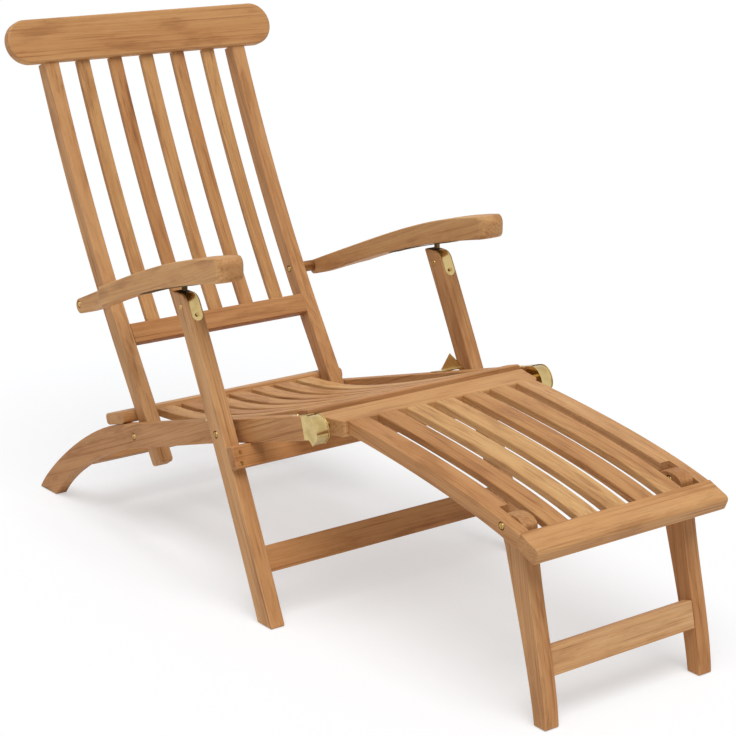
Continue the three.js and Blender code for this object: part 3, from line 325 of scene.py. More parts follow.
class Finish:
    """A material, or the studio's light, under construction."""

    def __init__(self, owner):
        self.owner = owner
        owner.use_nodes = True
        self.tree = owner.node_tree
        self.tree.nodes.clear()

    def node(self, kind, settings=None, values=None, out=0):
        """A node with its settings, then the values or wires of its sockets, which go by number,
        identifier or name, as does the output that it gives."""
        node = self.tree.nodes.new(kind)
        for key, value in (settings or {}).items():
            if key == "stops":
                for k, (place, colour) in enumerate(value):
                    stop = node.color_ramp.elements[k] if k < 2 else node.color_ramp.elements.new(place)
                    stop.position, stop.color = place, colour
            else:
                setattr(node, key, value)

        def found(sockets, key):
            return next((s for k, s in enumerate(sockets) if key in (k, s.identifier, s.name)), None)

        for key, value in (values or {}).items():
            if isinstance(value, Wire):
                self.tree.links.new(value.socket, found(node.inputs, key))
            else:
                found(node.inputs, key).default_value = value
        return Wire(self, found(node.outputs, out))

    def sum(self, operation, *values):
        return self.node("ShaderNodeMath", {"operation": operation}, dict(enumerate(values)))

    def mark(self, name, out="Fac"):
        return self.node("ShaderNodeAttribute", {"attribute_name": name}, out=out)

    def noise(self, vector, factors, detail=2.0, roughness=0.55):
        """Noise at so many swings a metre along each axis."""
        scaled = self.node("ShaderNodeVectorMath", {"operation": "MULTIPLY"}, {0: vector, 1: factors})
        return self.node("ShaderNodeTexNoise", {"noise_dimensions": "3D"}, {
            "Vector": scaled, "Scale": 1.0, "Detail": detail, "Roughness": roughness})

    def between(self, value, low, high, to_low=0.0, to_high=1.0):
        return self.node("ShaderNodeMapRange", {"interpolation_type": "SMOOTHSTEP"}, {
            "Value": value, "From Min": low, "From Max": high, "To Min": to_low, "To Max": to_high})

    def mix(self, factor, a, b):
        return self.node("ShaderNodeMix", {"data_type": "RGBA"}, {
            "Factor_Float": factor, "A_Color": a, "B_Color": b}, "Result_Color")

    def bump(self, strength, distance, height):
        return self.node("ShaderNodeBump", None, {
            "Strength": strength, "Distance": distance, "Height": height})

    def done(self, shader, output="ShaderNodeOutputMaterial"):
        self.node(output, None, {"Surface": shader})
        return self.owner


def colour(red, green, blue):
    """A colour as a shader takes it, from its amounts of 255."""
    def linear(amount):
        part = amount / 255
        return part / 12.92 if part <= 0.04045 else ((part + 0.055) / 1.055) ** 2.4
    return (linear(red), linear(green), linear(blue), 1.0)


RING_WIDTH = 0.0058


def teak(slot, name, deep, russet, honey, straw):
    """Bare sanded teak: growth rings round the heart of the log, long soft streaks, short dark
    flecks and fine pores, darker end grain, and arrises painted paler: a painted highlight with a little
    rubbing."""
    wood = Finish(bpy.data.materials.new(name))
    grain = wood.mark("grain", "Vector")
    tone, end, edge = wood.mark("tone"), wood.mark("end"), wood.mark("edge")
    x, y, z = (wood.node("ShaderNodeSeparateXYZ", None, {0: grain}, axis) for axis in "XYZ")
    sway = wood.noise(grain, (1.5, 9.0, 9.0)) - 0.5
    waver = wood.noise(grain, (6.0, 60.0, 60.0)) - 0.5
    side = y + x * 0.045 + sway * 0.034 + waver * 0.004
    rise = z + x * 0.020 + sway * 0.018
    reach = (side * side + rise * rise) ** 0.5
    year = (reach / RING_WIDTH + sway * 1.3).fraction()
    ring = wood.between(year, 0.10, 0.88) * wood.between(year, 1.0, 0.92)
    patch = wood.between(wood.noise(grain, (2.6, 24.0, 24.0)), 0.38, 0.66)
    broad = wood.noise(grain, (1.1, 18.0, 18.0))
    cloud = wood.noise(grain, (9.0, 42.0, 42.0), 3.0)
    streak = wood.noise(grain, (3.0, 210.0, 210.0), 4.0, 0.62)
    line = wood.noise(grain, (2.2, 420.0, 420.0))
    fleck = wood.between(wood.noise(grain, (34.0, 760.0, 760.0)), 0.60, 0.70)
    fine = wood.noise(grain, (10.0, 1100.0, 1100.0))
    pore = wood.between(wood.noise(grain, (60.0, 2600.0, 2600.0), 1.0), 0.60, 0.74)
    warmth = tone * 0.34 + broad * 0.60 + streak * 0.50 + cloud * 0.36 - 0.41
    base = wood.node("ShaderNodeValToRGB", {"stops": [
        (0.0, deep), (1.0, straw), (0.24, russet), (0.62, honey)]}, {0: warmth})
    for share, shade in (
            (ring * patch * 0.20, deep),
            (wood.between(line, 0.58, 0.70, 0.0, 0.34) * patch, deep),
            (wood.between(streak, 0.32, 0.45, 0.42, 0.0), deep),
            (wood.between(cloud, 0.32, 0.48, 0.26, 0.0), deep),
            # the edge mark paints the arrises paler with straw: a painted highlight with a little rubbing
            (fleck * 0.24, deep), (end * 0.16, deep), (edge * 0.22, straw)):
        base = wood.mix(share, base, shade)
    base = wood.node("ShaderNodeVectorMath", {"operation": "SCALE"}, {
        0: base, "Scale": 1.05 - fine * 0.10 - pore * 0.12})
    relief = fine * 0.5 - pore * 0.6 - fleck * 0.7 - ring * 0.3
    return slot, wood.done(wood.node("ShaderNodeBsdfPrincipled", None, {
        "Base Color": base, "Roughness": 0.52 + fine * 0.12 + pore * 0.10,
        "Normal": wood.bump(0.25, 0.0005, relief), "Specular IOR Level": 0.28}))


frame_teak = teak("teak_frame", "teak_of_the_frame", colour(118, 70, 34), colour(174, 118, 68),
                  colour(198, 148, 98), colour(218, 179, 131))

SEAT_TILT, LEG_PIVOT = 15.6, at(0, 312)
SEAT_HALF, RAIL_THICK = 262.0, 26.0
RAIL_INNER = SEAT_HALF - RAIL_THICK
RAIL_RISE, RAIL_DROP, NOSE_REACH = 20.5, 22.3, 240.0
CAP_BACK, CAP_SHEET, RAMP_BACK, RAMP_FRONT = 20.0, 1.8, 4.0, 3.0
BULGE_REACH, BULGE_DROP = 19.5, 8.0
TAPER_START, TAPER_END, TAPER_DROP, TAPER_PULL = 100.0, 395.0, 28.0, 45.0
SABRE_START, SABRE_PULL = 414.0, 150.0
HEEL, HEEL_LEAN, HEEL_PULL = at(743, 0), 59.4, 48.5
TOE, TOE_LEAN, TOE_PULL = at(677, 0), 50.7, 118.0
rail_run, rail_up = heading(-SEAT_TILT), heading(90 - SEAT_TILT)
rail_grain = heading(-22)


def on_rail(along, above):
    """A place so far behind the leg's bolt and above it, square to the seat."""
    return LEG_PIVOT + rail_run * along + rail_up * above


def from_nose(along, above):
    """The same from the nose's own middle."""
    return on_rail(along - NOSE_REACH, above)


def nose_round(sheet, steps=16):
    """The nose from its top round to its front, under a sheet of metal."""
    top, front = RAIL_RISE - sheet, sheet - BULGE_REACH
    last = from_nose(front, -BULGE_DROP)
    return curved((from_nose(6, top), from_nose(-9, top), from_nose(front, 7), last), steps) + [last]


def mirrored(make):
    """Left and right, the left being towards -X."""
    for side, sign in (("left", -1), ("right", 1)):
        make(side, sign)


def faces(sign, near, far):
    """The lower and the upper X of a piece on one side, from its nearer and farther face."""
    return (near, far) if sign > 0 else (-far, -near)


taper = on_rail(TAPER_START, -RAIL_DROP)
taper_end = on_rail(TAPER_END, -TAPER_DROP)
sabre_top = [on_rail(SABRE_START, RAIL_RISE), on_rail(SABRE_START + SABRE_PULL, RAIL_RISE),
             HEEL + heading(180 - HEEL_LEAN) * HEEL_PULL, HEEL]
sabre_under = [taper_end, taper_end + (taper_end - taper).normalized() * TAPER_PULL,
               TOE + heading(180 - TOE_LEAN) * TOE_PULL, TOE]
BACK_PIVOT = on_rail(365, -4)


def side_rail(side, sign):
    chin = from_nose(-4, -RAIL_DROP)
    outline = curved(sabre_top[::-1], 30) + [sabre_top[0], from_nose(CAP_BACK + RAMP_BACK, RAIL_RISE)]
    outline += [from_nose(CAP_BACK - RAMP_FRONT, RAIL_RISE - CAP_SHEET)] + nose_round(CAP_SHEET)
    outline += bow(outline[-1], from_nose(CAP_SHEET - BULGE_REACH, -RAIL_DROP), chin)[1:]
    outline += [chin, taper] + curved(sabre_under, 26) + [TOE]
    mesh = sawn(outline, *faces(sign, RAIL_INNER, SEAT_HALF), arris=2.4, bores=[(BACK_PIVOT, sign)])
    timber(f"side_rail_{side}", mesh, (0, *rail_grain), 3 + sign, "seat", frame_teak)


mirrored(side_rail)

# Seat cross members: a front rail, a wide rear board and a rear stretcher hold the two side rails
# apart. The board lies on the rails, and the others are tenoned between them.
board_teak = teak("teak_boards", "teak_of_the_boards", colour(124, 75, 38), colour(181, 127, 77),
                  colour(203, 154, 101), colour(221, 182, 129))
GAP = 0.3  # is left between pieces that touch
BACK_LEAN, STILE_DEPTH = 32.3, 33.0
CROSS_HALF = RAIL_INNER - GAP
FRONT_RAIL_REACH, FRONT_RAIL_DROP, FRONT_RAIL_DEPTH, FRONT_RAIL_THICK = 203.5, 4.0, 33.5, 30.0
BOARD_DEPTH, BOARD_THICK, STRETCHER_DEPTH, STRETCHER_THICK = 66.0, 23.0, 44.0, 22.0
across = (1, 0, 0)


def way_on(curve, t):
    """The way that a curve of four points runs at t."""
    a, b, c, d = curve
    return ((b - a) * (1 - t) ** 2 + (c - b) * (2 * t * (1 - t)) + (d - c) * (t * t)).normalized()


def back_normal_at(lean):
    """The way out of the back of a stile that leans so far."""
    return heading(-lean)


back_normal = back_normal_at(BACK_LEAN)
board_seat = RAIL_RISE + GAP
board_corner = on_rail(0, board_seat + BOARD_THICK)
clear_of_stiles = STILE_DEPTH / 2 + GAP - (board_corner - BACK_PIVOT).dot(back_normal)
board_reach = clear_of_stiles / rail_run.dot(back_normal)
stretcher_middle = (spot_on(sabre_top, 0.5) + spot_on(sabre_under, 0.5)) / 2
stretcher_run = (way_on(sabre_top, 0.5) + way_on(sabre_under, 0.5)).normalized()
stretcher_corner = (stretcher_middle - stretcher_run * (STRETCHER_THICK / 2)
                    - square_to(stretcher_run) * (STRETCHER_DEPTH / 2))
front_rail = block(on_rail(-FRONT_RAIL_REACH, -FRONT_RAIL_DROP), rail_run, FRONT_RAIL_DEPTH,
                   FRONT_RAIL_THICK)
rear_board = block(on_rail(board_reach, board_seat), rail_run, BOARD_DEPTH, BOARD_THICK)
stretcher = block(stretcher_corner, stretcher_run, STRETCHER_THICK, STRETCHER_DEPTH)
for name, outline, half, corner, arris, seed, wood in (
        ("seat_front_rail", front_rail, CROSS_HALF, 3, 0.6, 11, frame_teak),
        ("seat_rear_board", rear_board, SEAT_HALF, 8, 2.2, 12, board_teak),
        ("rear_stretcher", stretcher, CROSS_HALF, 2, 0.6, 13, frame_teak)):
    timber(name, sawn(outline, -half, half, arris, corner), across, seed, "seat", wood)

# Seat slats: seven slats, sawn from the plank to a dip under the sitter, 38 mm wide and 55 mm
# apart. They are housed in the front rail and against the rear board.
slat_teak = teak("teak_slats", "teak_of_the_slats", colour(118, 71, 34), colour(173, 118, 70),
                 colour(201, 153, 99), colour(222, 185, 128))


class Rule:
    """A geometry rule: what it is given by name, the nodes that work on it, and its finish."""

    def __init__(self, name, **kinds):
        self.tree = bpy.data.node_groups.new(name, "GeometryNodeTree")
        kinds = {"Start": "Geometry", **kinds, "Finish": "Material"}
        self.named = {key: self.port(key, "INPUT", kind) for key, kind in kinds.items()}
        self.port("Made", "OUTPUT", "Geometry")
        self.given = self.tree.nodes.new("NodeGroupInput").outputs

    def port(self, name, direction, kind):
        return self.tree.interface.new_socket(
            name=name, in_out=direction, socket_type=f"NodeSocket{kind}").identifier

    def node(self, kind, values, **settings):
        """A node with its settings, then its values or links; gives its first output."""
        node = self.tree.nodes.new(kind)
        for key, value in settings.items():
            setattr(node, key, value)
        for key, value in values.items():
            if isinstance(value, bpy.types.NodeSocket):
                self.tree.links.new(value, node.inputs[key])
            else:
                node.inputs[key].default_value = value
        return node.outputs[0] if node.outputs else None

    def sum(self, operation, a, b):
        return self.node("ShaderNodeMath", {0: a, 1: b}, operation=operation)

    def reach(self, **parts):
        """A vector with the parts that are given, along X, Y and Z."""
        return self.node("ShaderNodeCombineXYZ", parts)

    def end(self, instances):
        """Makes the instances real and gives them their finish."""
        real = self.node("GeometryNodeRealizeInstances", {0: instances})
        painted = self.node("GeometryNodeSetMaterial", {0: real, "Material": self.given["Finish"]})
        self.node("NodeGroupOutput", {0: painted})

    def made(self, mesh, **values):
        """A plain mesh of what the rule makes of one."""
        maker = linked(mesh.name, mesh)
        worker = maker.modifiers.new("rule", "NODES")
        worker.node_group = self.tree
        for key, value in values.items():
            worker[self.named[key]] = value
        result = settled(maker)
        bpy.data.objects.remove(maker)
        return result


def slat_rule():
    """Slats swept along a path, a pitch apart about the middle."""
    rule = Rule("row_of_slats", Count="Int", Pitch="Float", Width="Float", Thickness="Float",
                Rounding="Float")
    given = rule.given
    path = rule.node("GeometryNodeMeshToCurve", {0: given["Start"]})
    upright = rule.node("GeometryNodeSetCurveNormal", {0: path}, mode="Z_UP")
    section = rule.node("GeometryNodeCurvePrimitiveQuadrilateral", {
        "Width": given["Width"], "Height": given["Thickness"]})
    rounded = rule.node("GeometryNodeFilletCurve", {
        "Curve": section, "Radius": given["Rounding"], "Count": 3}, mode="POLY")
    slat = rule.node("GeometryNodeCurveToMesh", {
        "Curve": upright, "Profile Curve": rounded, "Fill Caps": True})
    span = rule.sum("MULTIPLY", rule.sum("SUBTRACT", given["Count"], 1.0), given["Pitch"])
    line = rule.node("GeometryNodeMeshLine", {
        "Count": given["Count"], "Start Location": rule.reach(X=rule.sum("MULTIPLY", span, -0.5)),
        "Offset": rule.reach(X=given["Pitch"])})
    rule.end(rule.node("GeometryNodeInstanceOnPoints", {"Points": line, "Instance": slat}))
    return rule


slats = slat_rule()


def row_of_slats(name, path, body, along, seed, count, pitch, width, thickness, rounding):
    """A row of like slats along a path in the side plane, each with its own grain."""
    line = bpy.data.meshes.new(name)
    line.from_pydata([placed(0, p) for p in path], [(k, k + 1) for k in range(len(path) - 1)], [])
    mesh = slats.made(line, Count=count, Pitch=pitch * MM, Width=width * MM,
                      Thickness=thickness * MM, Rounding=rounding * MM, Finish=slat_teak[1])
    grained(mesh, (0, *along), seed, lambda p: round(p.x / MM / pitch + (count - 1) / 2))
    nodes = [f"{name}_{k}" for k in range(1, count + 1)]
    fitted(f"{name}s_planed", mesh, body, slat_teak, nodes, smooth=50)


SEAT_SLAT = 16.0
SLAT_FRONT, DIP_BACK, FRONT_RISE, DIP_RISE, REAR_RISE = -169.7, 175.0, 26.0, 12.0, 38.0
FRONT_LIFT, REAR_LIFT, END_PULL, DIP_PULL = 3.0, 12.0, 0.3, 0.42
slat_rear = board_reach - GAP
rear_span, front_span = slat_rear - DIP_BACK, DIP_BACK - SLAT_FRONT
slat_end, slat_dip, slat_start = (on_rail(along, rise - SEAT_SLAT / 2) for along, rise in (
    (slat_rear, REAR_RISE), (DIP_BACK, DIP_RISE), (SLAT_FRONT, FRONT_RISE)))
seat_slat_line = curved((slat_end, slat_end + heading(180 - SEAT_TILT + REAR_LIFT) * rear_span * END_PULL,
                         slat_dip + rail_run * rear_span * DIP_PULL, slat_dip), 22)
seat_slat_line += curved((slat_dip, slat_dip - rail_run * front_span * DIP_PULL,
                          slat_start + heading(-SEAT_TILT - FRONT_LIFT) * front_span * END_PULL,
                          slat_start), 26)
row_of_slats("seat_slat", seat_slat_line + [slat_start], "seat", rail_run, 21, count=7, pitch=55,
             width=38, thickness=SEAT_SLAT, rounding=2.4)

# Back frame: two stiles, straight past the pivot and then bent back on a slow curve, with a lower
# rail tenoned between them. The rounded tail of each stile hangs below the seat rail.
BACK_RADIUS, STILE_STRAIGHT, STILE_LENGTH, STILE_TAIL = 3360.0, 160.0, 756.0, 64.0
STILE_OUTER = RAIL_INNER - 3
STILE_INNER = STILE_OUTER - 30
ARM_PIVOT_UP, LOWER_RAIL_UP, LOWER_RAIL_HEIGHT, LOWER_RAIL_THICK = 276.0, 177.0, 40.0, 25.0
TAIL_ROUND, MORTISED = 9.0, 3.0


def lean_at(along):
    """How far a stile leans back, so far up from its pivot."""
    return BACK_LEAN - math.degrees(max(0.0, along - STILE_STRAIGHT) / BACK_RADIUS)


def straight_back(along, behind):
    return BACK_PIVOT + heading(90 - BACK_LEAN) * along + back_normal * (behind - STILE_DEPTH / 2)


back_centre = straight_back(STILE_STRAIGHT, -BACK_RADIUS)


def on_back(along, behind):
    """A place up a stile and behind its front face."""
    if along < STILE_STRAIGHT:
        return straight_back(along, behind)
    return back_centre + back_normal_at(lean_at(along)) * (BACK_RADIUS + behind)


def up_back(low, high, behind, steps=20):
    return [on_back(low + (high - low) * k / steps, behind) for k in range(steps + 1)]


ARM_PIVOT = on_back(ARM_PIVOT_UP, STILE_DEPTH / 2)
stile_top = (on_back(STILE_LENGTH + MORTISED, 0), on_back(STILE_LENGTH + MORTISED, STILE_DEPTH))
stile_outline = up_back(STILE_STRAIGHT, STILE_LENGTH, 0) + list(stile_top)
stile_outline += up_back(STILE_LENGTH, STILE_STRAIGHT, STILE_DEPTH)
tail_rear = ((TAIL_ROUND, STILE_DEPTH), (0, STILE_DEPTH), (0, STILE_DEPTH - TAIL_ROUND))
tail_front = ((0, TAIL_ROUND), (0, 0), (TAIL_ROUND, 0))
for corner in (tail_rear, tail_front):
    start, turn, end = (on_back(up - STILE_TAIL, behind) for up, behind in corner)
    stile_outline += bow(start, turn, end) + [end]
mean_up = (on_back(STILE_LENGTH, 0) - on_back(0, 0)).normalized()


def back_stile(side, sign):
    arm_bolt = ARM_PIVOT - back_normal_at(lean_at(ARM_PIVOT_UP)) * 0.001
    mesh = sawn(stile_outline, *faces(sign, STILE_INNER, STILE_OUTER), arris=2.4, sharp=stile_top,
                bores=[(arm_bolt, -sign), (BACK_PIVOT, -sign)])
    timber(f"back_stile_{side}", mesh, (0, *mean_up), 30 + 2 * sign, "backrest", frame_teak)


mirrored(back_stile)
lower_rail_up = heading(90 - lean_at(LOWER_RAIL_UP + LOWER_RAIL_HEIGHT / 2))
lower_rail = block(on_back(LOWER_RAIL_UP, LOWER_RAIL_THICK), lower_rail_up, LOWER_RAIL_HEIGHT,
                   LOWER_RAIL_THICK)
timber("back_lower_rail", sawn(lower_rail, GAP - STILE_INNER, STILE_INNER - GAP, 0.6, 2.5), across, 34,
       "backrest", frame_teak)

# Back slats and top rail: five narrow slats run up the back on the same curve as the stiles. Their
# tops and the stiles' are tenoned into one wide rounded board.
row_of_slats("back_slat", up_back(LOWER_RAIL_UP + LOWER_RAIL_HEIGHT + GAP, STILE_LENGTH, 11, 26),
             "backrest", mean_up, 41, count=5, pitch=73, width=28.5, thickness=12, rounding=2.2)
HEAD_HALF, HEAD_HEIGHT, HEAD_THICK = 305.0, 87.0, 21.0
head_up = heading(90 - lean_at(STILE_LENGTH + HEAD_HEIGHT / 2))
head_origin = on_back(STILE_LENGTH + GAP, HEAD_THICK - 6)
head_radius = HEAD_HEIGHT / 2
head_outline = (arc(at(HEAD_HALF - head_radius, head_radius), head_radius, -90, 90, 28)
                + arc(at(head_radius - HEAD_HALF, head_radius), head_radius, 90, 270, 28))
head_place = Matrix(((0, 1, 0, 0), (-head_up.y, 0, head_up.x, head_origin.x),
                     (head_up.x, 0, head_up.y, head_origin.y), (0, 0, 0, 1)))
head = sawn(head_outline, 0, HEAD_THICK, arris=4.5, corner=1, place=head_place, steps=6)
timber("top_rail", head, across, 47, "backrest", board_teak)

# Arms: each is sawn to a long sagging curve from a thick plank. Behind a curved shoulder it
# narrows to a tongue that turns on a bolt, and its front end is bowed in plan.
ARM_INNER, ARM_WIDTH, ARM_NARROWING = STILE_OUTER + 29.5, 54.0, 28.0
ARM_OUTER = ARM_INNER + ARM_WIDTH
TONGUE_FACE, TONGUE_RADIUS, TONGUE_HOLE = ARM_OUTER - ARM_NARROWING, 14.5, 3.2
SHOULDER_LENGTH, SHOULDER_TURN = 75.0, 22.5
NOSE_BOW, NOSE_TURN, NOSE_LENGTH = 22.0, 25.0, 60.0
ARM_REACH, ARM_RISE, NOSE_DEPTH, SHOULDER_REACH = 554.0, 194.5, 43.0, 128.0
TOP_SLOPE, UNDER_SLOPE = 21.9, 14.0
arm_end = ARM_PIVOT - at(2.7, 3)
arm_top_front = ARM_PIVOT + at(-ARM_REACH, ARM_RISE)
arm_under_front = arm_top_front - at(0, NOSE_DEPTH)
arm_top_rear = arm_end + heading(90 - TOP_SLOPE) * TONGUE_RADIUS
arm_under_rear = arm_end + heading(-90 - UNDER_SLOPE) * TONGUE_RADIUS
arm_top = [arm_top_rear, arm_top_rear + heading(180 - TOP_SLOPE) * 330,
           arm_top_front + heading(-9.2) * 165, arm_top_front]
arm_under = [arm_under_rear, arm_under_rear + heading(180 - UNDER_SLOPE) * 90,
             arm_under_front + heading(-10.9) * 320, arm_under_front]
arm_front = arm_top_front.x
shoulder_y = ARM_PIVOT.x - SHOULDER_REACH
arm_grain = heading(180 - 19)


def height_at(curve, y):
    """Where one of the arm's curves, which run forward, passes a place along it."""
    low, high = 0.0, 1.0
    for _ in range(30):
        t = (low + high) / 2
        spot = spot_on(curve, t)
        if spot.x > y:
            low = t
        else:
            high = t
    return spot.y


ARM_STRIPS, NOSE_STRIPS = 64, 4
arm_places = [arm_front + (arm_top_rear.x - 4 - arm_front) * k / ARM_STRIPS
              for k in range(NOSE_STRIPS, ARM_STRIPS + 1)]
arm_places = sorted([y for y in arm_places if abs(y - shoulder_y) > 3]
                    + [arm_front, shoulder_y, shoulder_y + 2])
arm_outline = arc(arm_end, TONGUE_RADIUS, -90 - UNDER_SLOPE, 90 - TOP_SLOPE, 14)
arm_outline += [at(y, height_at(arm_top, y)) for y in reversed(arm_places)]
arm_outline += [at(y, height_at(arm_under, y)) for y in arm_places if y < arm_under_rear.x - 4]


def along_bow(length, turn, left):
    """How far along it is, from 0 to 1, on a bow from length over turn to nothing, where so much
    of its length is left."""
    half, fall = length - turn, length - 2 * turn
    return (half - math.sqrt(half * half - fall * (length - left))) / fall


def arm_plan(sign):
    """Narrows the blank behind the shoulder and bows its front end."""
    def shaped(p):
        share = (abs(p.x) - ARM_INNER) / ARM_WIDTH
        if p.y > shoulder_y:
            t = along_bow(SHOULDER_LENGTH, SHOULDER_TURN, min(SHOULDER_LENGTH, p.y - shoulder_y))
            p.x = sign * (ARM_INNER + share * (ARM_WIDTH - ARM_NARROWING * (1 - t * t)))
        reach = p.y - arm_front
        if reach < NOSE_LENGTH:
            aside = min(ARM_WIDTH / 2, abs(share - 0.5) * ARM_WIDTH)
            back = NOSE_BOW * (1 - along_bow(ARM_WIDTH / 2, NOSE_TURN, aside)) ** 2
            top, under = height_at(arm_top, p.y), height_at(arm_under, p.y)
            level = (p.z - under) / (top - under)
            p.y = arm_front + back + reach * (1 - back / NOSE_LENGTH)
            top, under = height_at(arm_top, p.y), height_at(arm_under, p.y)
            p.z = under + level * (top - under)
        return p
    return shaped


def cut_away(mesh, low, high, round_bit=False):
    """The timber less a box, or less a round bit that fills the box along X. The box's corners are
    in the frame's own place."""
    work = bmesh.new()
    if round_bit:
        bmesh.ops.create_cone(work, cap_ends=True, segments=40, radius1=0.5, radius2=0.5, depth=1.0)
        bmesh.ops.rotate(work, verts=work.verts, matrix=Matrix.Rotation(math.pi / 2, 3, "Y"))
    else:
        bmesh.ops.create_cube(work, size=1.0)
    for vertex in work.verts:
        share = vertex.co + Vector((0.5, 0.5, 0.5))
        vertex.co = Vector([a + (b - a) * s for a, b, s in zip(low, high, share)]) * MM
    host, bit = linked("host", mesh), linked("bit", mesh_of(work, "bit"))
    cut = host.modifiers.new("recess", "BOOLEAN")
    cut.operation, cut.solver, cut.object = "DIFFERENCE", "EXACT", bit
    cut_mesh = settled(host)
    for tool in (host, bit):
        bpy.data.objects.remove(tool)
    return cut_mesh


def armrest(side, sign):
    mesh = sawn(arm_outline, *faces(sign, ARM_INNER, ARM_OUTER), arris=2.8, corner=14, slices=16,
                bend=arm_plan(sign))
    hole = (sign * TONGUE_FACE, ARM_PIVOT.x + middle_y, ARM_PIVOT.y)
    low, high = ([p + end * reach for p, reach in zip(hole, (TONGUE_HOLE, HOLE_RADIUS, HOLE_RADIUS))]
                 for end in (-1, 1))
    mesh = cut_away(mesh, low, high, round_bit=True)
    timber(f"armrest_{side}", mesh, (0, *arm_grain), 51 + sign, f"arm_{side}", board_teak, "shaped")


mirrored(armrest)

# Front legs: they lean back across the seat rails, outside them, and carry the arms on their
# rounded tops. Two braces join them: one bevelled under the rails, one tenoned near the feet.
LEG_THICK, LEG_DEPTH, LEG_HEIGHT, LEG_TOP_RADIUS = 29.0, 44.4, 545.0, 24.0
LEG_INNER = SEAT_HALF + 9
LEG_OUTER = LEG_INNER + LEG_THICK
LEG_RAKE, LEG_TOP_RAKE, LEG_FORWARD = 0.43, 0.517, 3.4
leg_grain = heading(90 - 26)
leg_bow = (LEG_TOP_RAKE - LEG_RAKE) / (2 * LEG_HEIGHT)


def leg_line(z, offset):
    """The leg at a height, so far behind its middle."""
    from_pivot = z - LEG_PIVOT.y
    return at(LEG_RAKE * from_pivot + leg_bow * from_pivot * (z + LEG_PIVOT.y) - LEG_FORWARD + offset, z)


def leg_lean(z):
    return math.degrees(math.atan(LEG_RAKE + 2 * leg_bow * z))


top_lean = leg_lean(LEG_HEIGHT)
leg_shoulder = LEG_HEIGHT - LEG_TOP_RADIUS * (1 - math.sin(math.radians(top_lean)))
hook_pin = leg_line(leg_shoulder, -LEG_DEPTH / 2) + heading(-top_lean) * LEG_TOP_RADIUS
leg_outline = [leg_line(leg_shoulder * k / 24, -LEG_DEPTH / 2) for k in range(24)]
leg_outline += arc(hook_pin, LEG_TOP_RADIUS, 180 - top_lean, 90, 16)
leg_outline += [leg_line(LEG_HEIGHT * (1 - k / 24), LEG_DEPTH / 2) for k in range(25)]


def front_leg(side, sign):
    mesh = sawn(leg_outline, *faces(sign, LEG_INNER, LEG_OUTER), arris=2.4, bores=[(LEG_PIVOT, sign)])
    seed = 60 if sign < 0 else 63
    timber(f"front_leg_{side}", mesh, (0, *leg_grain), seed, "front_legs", frame_teak)


mirrored(front_leg)
BRACE_THICK, BRACE_DROP = 19.0, 53.5
LOWER_BRACE_UP, LOWER_BRACE_IN, LOWER_BRACE_HEIGHT, LOWER_BRACE_THICK = 89.0, 22.0, 47.0, 20.0
pivot_lean, lower_lean = leg_lean(LEG_PIVOT.y), leg_lean(LOWER_BRACE_UP)
brace_up, brace_front = heading(90 - pivot_lean), heading(180 - pivot_lean)
low_rear = leg_line(LEG_PIVOT.y - BRACE_DROP, -LEG_DEPTH / 2) + brace_front * GAP
brace_rise = (-RAIL_DROP - GAP - (low_rear - LEG_PIVOT).dot(rail_up)) / brace_up.dot(rail_up)
high_rear = low_rear + brace_up * brace_rise
high_front = high_rear - rail_run * (BRACE_THICK / (-rail_run).dot(brace_front))
upper_brace = [low_rear, low_rear + brace_front * BRACE_THICK, high_front, high_rear]
lower_corner = leg_line(LOWER_BRACE_UP, -LEG_DEPTH / 2) + heading(-lower_lean) * LOWER_BRACE_IN
lower_brace = block(lower_corner, heading(90 - lower_lean), LOWER_BRACE_HEIGHT, LOWER_BRACE_THICK)
for name, outline, half, arris, seed in (
        ("upper_leg_brace", upper_brace, LEG_OUTER, 2.0, 65),
        ("lower_leg_brace", lower_brace, LEG_INNER - GAP, 0.6, 66)):
    timber(name, sawn(outline, -half, half, arris, 2.2), across, seed, "front_legs", frame_teak)

# Footrest: a hinge rail with chamfered ends, two side rails, five wide slats and a rounded front
# rail, all of teak. Rails and slats share one curve, flat at the hinge and falling at the foot,
# and the rails are cut away inside for the folding leg.
HINGE = from_nose(0, 0)
FOOT_HALF, FOOT_WIDE, FOOT_SLAT = 205.0, 41.0, 14.0
KNEE_REACH, KNEE_DROP, FOOT_REACH, FOOT_DROP = 425.0, 59.5, 513.0, 76.5
KNEE = HINGE - at(KNEE_REACH, KNEE_DROP)
HINGE_HALF, HINGE_FRONT, HINGE_RISE, HINGE_DEPTH, HINGE_THICK = 231.0, 33.0, 10.5, 65.0, 29.0
CHAMFER = 20.0
HINGE_SLOPE, HINGE_PULL, FOOT_SLOPE, FOOT_PULL = 0.09, 190.0, 0.42, 95.0
foot_start = HINGE + at(-HINGE_FRONT, HINGE_RISE)
foot_end = HINGE - at(FOOT_REACH, FOOT_DROP)
foot_grain = at(-0.98, -0.17)


def foot_line(at_hinge, at_foot, steps=40):
    """The footrest's curve, a depth below its top at either end."""
    a, d = foot_start - at(0, at_hinge), foot_end - at(0, at_foot)
    hinge_way, foot_way = at(1, HINGE_SLOPE) * HINGE_PULL, at(1, FOOT_SLOPE) * FOOT_PULL
    return curved((a, a - hinge_way, d + foot_way, d), steps)


FRONT_THICK, FRONT_DEPTH = 28.0, 46.0
RAIL_AT_HINGE, RAIL_AT_FOOT = 25.0, 29.0
RELIEF, RELIEF_REAR, RELIEF_REAR_LOW = 19.8, 31.0, 38.0
RELIEF_FRONT, RELIEF_LOW, RELIEF_HIGH = HINGE.x - 560, 200.0, 420.0
foot_run = heading(math.degrees(math.atan(FOOT_SLOPE)))
front_corner = foot_end - square_to(foot_run) * FRONT_THICK
front_face = front_corner + foot_run * FRONT_DEPTH


